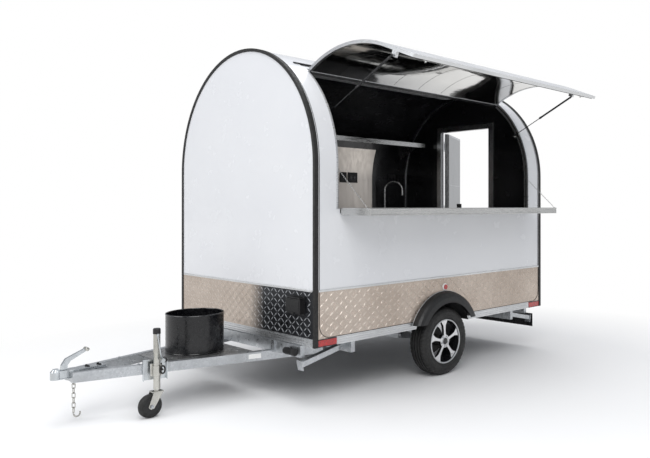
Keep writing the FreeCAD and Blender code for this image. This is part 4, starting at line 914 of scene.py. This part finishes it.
def safety_chain_links():
    """Round links that hang from the drawbar's lug, ending in a bent hook."""
    low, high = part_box("safety_chain")
    place = (Vector(low) + Vector(high)) / 2
    top = Vector((place.x, place.y, high[2] - 0.026))
    foot = Vector((place.x, place.y, low[2] + 0.040))
    piece = chain(Piece(), top, foot, 0.048, 0.028, 0.0068)
    hook = []
    for k in range(16):
        a = math.radians(-14 * k)
        hook.append((foot.x - 0.022 + 0.022 * math.cos(a), foot.y, foot.z - 0.010 + 0.022 * math.sin(a)))
    piece.tube(hook, [0.004] + [0.0055] * 14 + [0.003], 10)
    eye = place.y
    piece.tube([(place.x - 0.007, eye, high[2] - 0.028), (place.x + 0.007, eye, high[2] - 0.028)], 0.004, 10)
    for y in (eye - 0.010, eye + 0.010):
        piece.box((place.x - 0.004, y - 0.004, high[2] - 0.036), (place.x + 0.004, y + 0.004, high[2]))
    piece.box((place.x - 0.004, eye - 0.014, high[2] - 0.020), (place.x + 0.004, eye + 0.014, high[2]))
    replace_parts(piece.made("safety_chain_links", "plated"), "safety_chain")


def drawbar_details():
    """Bolt heads, the lever's grip, a blank label, the gas ring's rolled rims and the plate's bars."""
    bolts = Piece()
    low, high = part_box("coupler")
    mid_y = (low[1] + high[1]) / 2
    dark = Piece()
    for x in (low[0] + 0.035, low[0] + 0.115):
        for s in (-1, 1):
            dark.bolt((x, mid_y + s * 0.018, 0.374), (0, 0, 1), 0.008, 0.009)
    dark.made("coupler_bolts", "black_metal")
    for x in (0.06, 0.95):
        for s in (-1, 1):
            y = 0.049 + 0.489 * (1.372 - x) / 1.792
            bolts.bolt(at(x, s * y, 0.360), (0, 0, 1), 0.008, 0.008)
    bolts.made("drawbar_bolts", "zinc")
    grip = Piece()
    lever_low, lever_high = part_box("coupler_lever")
    mid = (lever_low[1] + lever_high[1]) / 2
    path = [(lever_low[0] + 0.012, mid + d, lever_high[2] - 0.012) for d in (-0.026, -0.023, 0.023, 0.026)]
    grip.tube(path, [0.009, 0.0135, 0.0135, 0.009], 16)
    grip.made("coupler_grip", "plated")
    along, out = Vector((0.9647, -0.2633, 0)), Vector((0.2633, 0.9647, 0))
    middle = at(0.130, 0.388, 0.328) + out * 0.0305
    corners = [(a, b) for a, b in ((-0.05, -0.018), (0.05, -0.018), (0.05, 0.018), (-0.05, 0.018))]
    rings = [[middle + along * a + Vector((0, 0, b)) + out * d for a, b in corners] for d in (-0.002, 0.0014)]
    Piece().hull(rings).made("drawbar_label_blank", "white_plastic")
    ring_low, ring_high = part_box("gas_bottle_ring")
    middle = Vector(((ring_low[0] + ring_high[0]) / 2, (ring_low[1] + ring_high[1]) / 2, ring_high[2]))
    radius = (ring_high[0] - ring_low[0]) / 2
    turns = [2 * math.pi * k / 72 for k in range(72)]
    path = [middle + Vector((math.cos(a), math.sin(a), 0)) * (radius - 0.0015) for a in turns]
    rim = Piece().tube(path, 0.005, 8, closed=True)
    low_path = [p + Vector((0, 0, -0.292)) for p in path]
    rim.tube(low_path, 0.0045, 8, closed=True)
    rim.made("gas_ring_rim", "gloss_black")
    bars = Piece()
    for i in range(11):
        for k in range(11):
            x, y = 0.15 + i * 0.060, -0.33 + k * 0.066
            edge = 0.049 + 0.489 * (1.372 - x) / 1.792 - 0.060
            inside_ring = math.hypot(x - 0.420, y) < 0.235
            if abs(y) > edge or inside_ring:
                continue
            lean = math.radians(45 if (i + k) % 2 else -45)
            c, s = math.cos(lean), math.sin(lean)
            base = [(x + c * 0.017, y + s * 0.017), (x - s * 0.004, y + c * 0.004),
                    (x - c * 0.017, y - s * 0.017), (x + s * 0.004, y - c * 0.004)]
            crest = [(x + (p - x) * 0.55, y + (q - y) * 0.55) for p, q in base]
            bars.hull([[at(p, q, 0.360) for p, q in base], [at(p, q, 0.3618) for p, q in crest]])
    bars.made("deck_bars", "deck", sharp=20)


def jockey_details():
    """Cap, clamp handle, crank grip, and the jockey wheel's rim."""
    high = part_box("jockey_tube")[1]
    crank_low, crank_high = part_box("jockey_crank")
    leg = centre("jockey_leg")
    top = Vector((leg.x, leg.y, high[2]))
    lid = [(0.0, -0.030), (0.0265, -0.030), (0.0265, 0.004), (0.022, 0.009), (0.0, 0.010)]
    cap = Piece().lathe(lid, top, (0, 0, 1), 32)
    cap.made("jockey_cap", "black_plastic")
    grip_z = crank_low[2] + 0.013
    grip = Piece()
    steps = (0.0, 0.004, 0.035, 0.062, 0.066)
    out = Vector((math.sin(0.2663), math.cos(0.2663), 0))
    middle = Vector(((crank_low[0] + crank_high[0]) / 2, crank_high[1], grip_z))
    path = [middle - out * (0.072 - d) + Vector((-0.004, 0.006, 0)) for d in steps]
    grip.tube(path, [0.010, 0.0145, 0.0135, 0.0145, 0.010], 18)
    grip.made("jockey_grip", "black_plastic")
    handle = Piece()
    along = Vector((out.y, -out.x, 0))
    base = Vector((leg.x, leg.y, 0.335)) - along * 0.036 - out * 0.016
    handle.tube([base, base + out * 0.044], 0.006, 12)
    turns = [math.radians(15 * k) for k in range(24)]
    hold = base + out * 0.044
    loop = [hold + along * (0.015 * math.cos(a)) + Vector((0, 0, 0.027 * math.sin(a))) for a in turns]
    handle.tube(loop, 0.006, 10, closed=True)
    handle.made("jockey_clamp_handle", "black_plastic")
    wheel = centre("jockey_wheel")
    hub = Piece()
    for s in (-1, 1):
        disc = [(0.0075, 0.0215), (0.052, 0.0215), (0.055, 0.0225), (0.055, 0.0240), (0.046, 0.0245),
                (0.018, 0.0235), (0.0075, 0.0260)]
        hub.lathe(disc, wheel, (0, s, 0), 40)
    hub.made("jockey_wheel_discs", "black_plastic", "jockey_wheel")
    nuts = Piece()
    for s in (-1, 1):
        nuts.bolt(wheel + Vector((0, s * 0.0370, 0)), (0, s, 0), 0.009, 0.008)
    nuts.made("jockey_nuts", "zinc", "jockey_fork")


def steady_details():
    """Nuts on the steady legs' pins."""
    nuts = Piece()
    for name in ("front_left", "front_right", "rear_left", "rear_right"):
        place = Vector(joint("steady_hinge_" + name)["pos_m"])
        sign = 1 if name.endswith("left") else -1
        nuts.bolt(place + Vector((0, sign * 0.034, 0)), (0, sign, 0), 0.008, 0.006)
        nuts.bolt(place - Vector((0, sign * 0.034, 0)), (0, -sign, 0), 0.008, 0.006)
    nuts.made("steady_nuts", "zinc")


# Inside


def inside_details():
    """Sink drains, tap collar, bench edge, socket faces, and the lamp's end caps."""
    low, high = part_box("sink_bench")
    drains = Piece()
    for x in (-2.60, -2.20):
        place = at(x, -0.645, 1.2302)
        dish = [(0.010, 0.0), (0.036, 0.0), (0.036, 0.002), (0.028, 0.0035), (0.010, 0.001)]
        drains.lathe(dish, place, (0, 0, 1), 32)
        drains.tube([place + Vector((0, 0, -0.10)), place + Vector((0, 0, -0.004))], 0.020, 20)
    drains.made("sink_drains", "stainless")
    collar = Piece()
    foot = [(0.010, 0.0), (0.028, 0.0), (0.028, 0.004), (0.021, 0.009), (0.010, 0.009)]
    collar.lathe(foot, at(-2.52, -0.88, 1.400), (0, 0, 1), 32)
    collar.made("tap_collar", "stainless")
    plates = Piece()
    faces = Piece()
    z = 1.782
    for x, w in ((-1.880, 0.096), (-2.000, 0.140), (-2.640, 0.120), (-2.800, 0.120)):
        middle = x - w / 2
        plates.box(at(x - w + 0.010, -0.944, z + 0.010), at(x - 0.010, -0.9405, z + 0.108))
        for s in ((-1, 1) if w > 0.1 else (0,)):
            cup = [(0.0, 0.0), (0.020, 0.0), (0.020, 0.003), (0.016, 0.003), (0.015, 0.001), (0.0, 0.001)]
            faces.lathe(cup, at(middle + s * 0.027, -0.9408, z + 0.059), (0, 1, 0), 28)
    plates.made("socket_faces", "black_plastic", bevel=0.003)
    faces.made("socket_rings", "gloss_black")
    lamp_low, lamp_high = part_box("ceiling_lamp")
    caps = Piece()
    for x in (lamp_low[0], lamp_high[0]):
        caps.box((x - 0.006, lamp_low[1] - 0.004, lamp_low[2] - 0.003),
                 (x + 0.006, lamp_high[1] + 0.004, lamp_high[2] - 0.006))
    caps.made("lamp_caps", "black_plastic", bevel=0.002)
    edge = Piece()
    edge.bar(low[0] + 0.004, high[0] - 0.004, high[1] - 0.0005, BENCH_EDGE, 0.0055, 10)
    low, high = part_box("serving_counter")
    edge.bar(low[0] + 0.004, high[0] - 0.004, low[1] + 0.0005, BENCH_EDGE, 0.0055, 10)
    edge.made("bench_edges", "stainless")


# Camera, light and floor


def camera():
    view = bpy.data.cameras.new("camera")
    view.sensor_fit = "HORIZONTAL"
    view.sensor_width = SENSOR
    view.lens = FOCAL_PIXELS * SENSOR / IMAGE[0]
    view.shift_x = (IMAGE[0] / 2 - PRINCIPAL[0]) / IMAGE[0]
    view.shift_y = (PRINCIPAL[1] - IMAGE[1] / 2) / IMAGE[0]
    view.clip_end = 200
    placed = bpy.data.objects.new("camera", view)
    placed.location = at(*CAMERA_PLACE)
    placed.rotation_euler = (math.radians(90 + CAMERA_PITCH), 0, math.radians(CAMERA_YAW - 90))
    bpy.context.scene.collection.objects.link(placed)
    scene = bpy.context.scene
    scene.camera = placed
    scene.render.resolution_x, scene.render.resolution_y = IMAGE
    scene.render.resolution_percentage = 100


def area_light(name, place, target, size, power):
    data = bpy.data.lights.new(name, "AREA")
    data.shape = "RECTANGLE"
    data.size, data.size_y = size
    data.energy = power
    lamp = bpy.data.objects.new(name, data)
    lamp.location = at(*place)
    lamp.rotation_euler = (at(*target) - at(*place)).to_track_quat("-Z", "Y").to_euler()
    bpy.context.scene.collection.objects.link(lamp)


def studio():
    """White all round for the camera, a soft grey-white room for the light, and a pale floor."""
    world = bpy.data.worlds.new("studio")
    bpy.context.scene.world = world
    world.use_nodes = True
    tree = world.node_tree
    light = tree.nodes["Background"]
    light.inputs["Color"].default_value = (0.86, 0.88, 0.92, 1)
    light.inputs["Strength"].default_value = 0.60
    white = tree.nodes.new("ShaderNodeBackground")
    white.inputs["Strength"].default_value = 1.0
    white.inputs["Color"].default_value = (1, 1, 1, 1)
    seen = tree.nodes.new("ShaderNodeLightPath").outputs["Is Camera Ray"]
    mix = tree.nodes.new("ShaderNodeMixShader")
    tree.links.new(seen, mix.inputs["Fac"])
    tree.links.new(light.outputs["Background"], mix.inputs[1])
    tree.links.new(white.outputs["Background"], mix.inputs[2])
    tree.links.new(mix.outputs["Shader"], tree.nodes["World Output"].inputs["Surface"])
    area_light("key", (3.5, 5.5, 6.5), (-1.2, 0, 1.0), (5, 5), 270)
    area_light("fill", (6.0, -1.0, 3.5), (-0.5, 0, 1.2), (4, 3), 120)
    area_light("sky", (-1.5, 0.5, 8.0), (-1.5, 0, 1.0), (8, 6), 330)
    ground = bmesh.new()
    bmesh.ops.create_circle(ground, cap_ends=True, segments=96, radius=60)
    data = bpy.data.meshes.new("floor")
    ground.to_mesh(data)
    ground.free()
    made = Surface("floor_white", (0.93, 0.93, 0.93), 0.85)
    made.tinted(0.6, (0.91, 0.91, 0.915), 0.5).rough(3, 0.8, 0.95)
    spread = made.node("VectorMath", operation="DISTANCE")
    made.link(made.place, spread.inputs[0])
    spread.inputs[1].default_value = at(-1.2, 0.6, 0)
    glow = made.node("Emission")
    blend = made.node("MixShader")
    made.link(made.ramp(spread.outputs["Value"], 0, 1, 2.6, 4.6), blend.inputs["Fac"])
    made.link(made.shader.outputs["BSDF"], blend.inputs[1])
    made.link(glow.outputs["Emission"], blend.inputs[2])
    output = next(n for n in made.material.node_tree.nodes if n.type == "OUTPUT_MATERIAL")
    made.link(blend.outputs["Shader"], output.inputs["Surface"])
    data.materials.append(made.material)
    floor = bpy.data.objects.new("floor", data)
    floor.location = (0, 0, -0.0005)
    bpy.context.scene.collection.objects.link(floor)


def render_settings():
    scene = bpy.context.scene
    scene.render.engine = "CYCLES"
    scene.cycles.samples = 160
    scene.cycles.use_denoising = True
    scene.view_settings.view_transform = "Standard"
    scene.render.film_transparent = False


camera()
paint_nodes()
shell_lines()
skirt_bars()
skirt_edges()
opening_trim()
cabin_lining()
side_fittings()
rear_fittings()
fender_trim()
canopy_details()
strut_fittings()
shelf_details()
shelf_chain_links()
door_details()
for side_name, side_sign in (("left", 1), ("right", -1)):
    tyre(side_name)
    rim_details(side_name, side_sign)
safety_chain_links()
drawbar_details()
jockey_details()
steady_details()
inside_details()
studio()
render_settings()
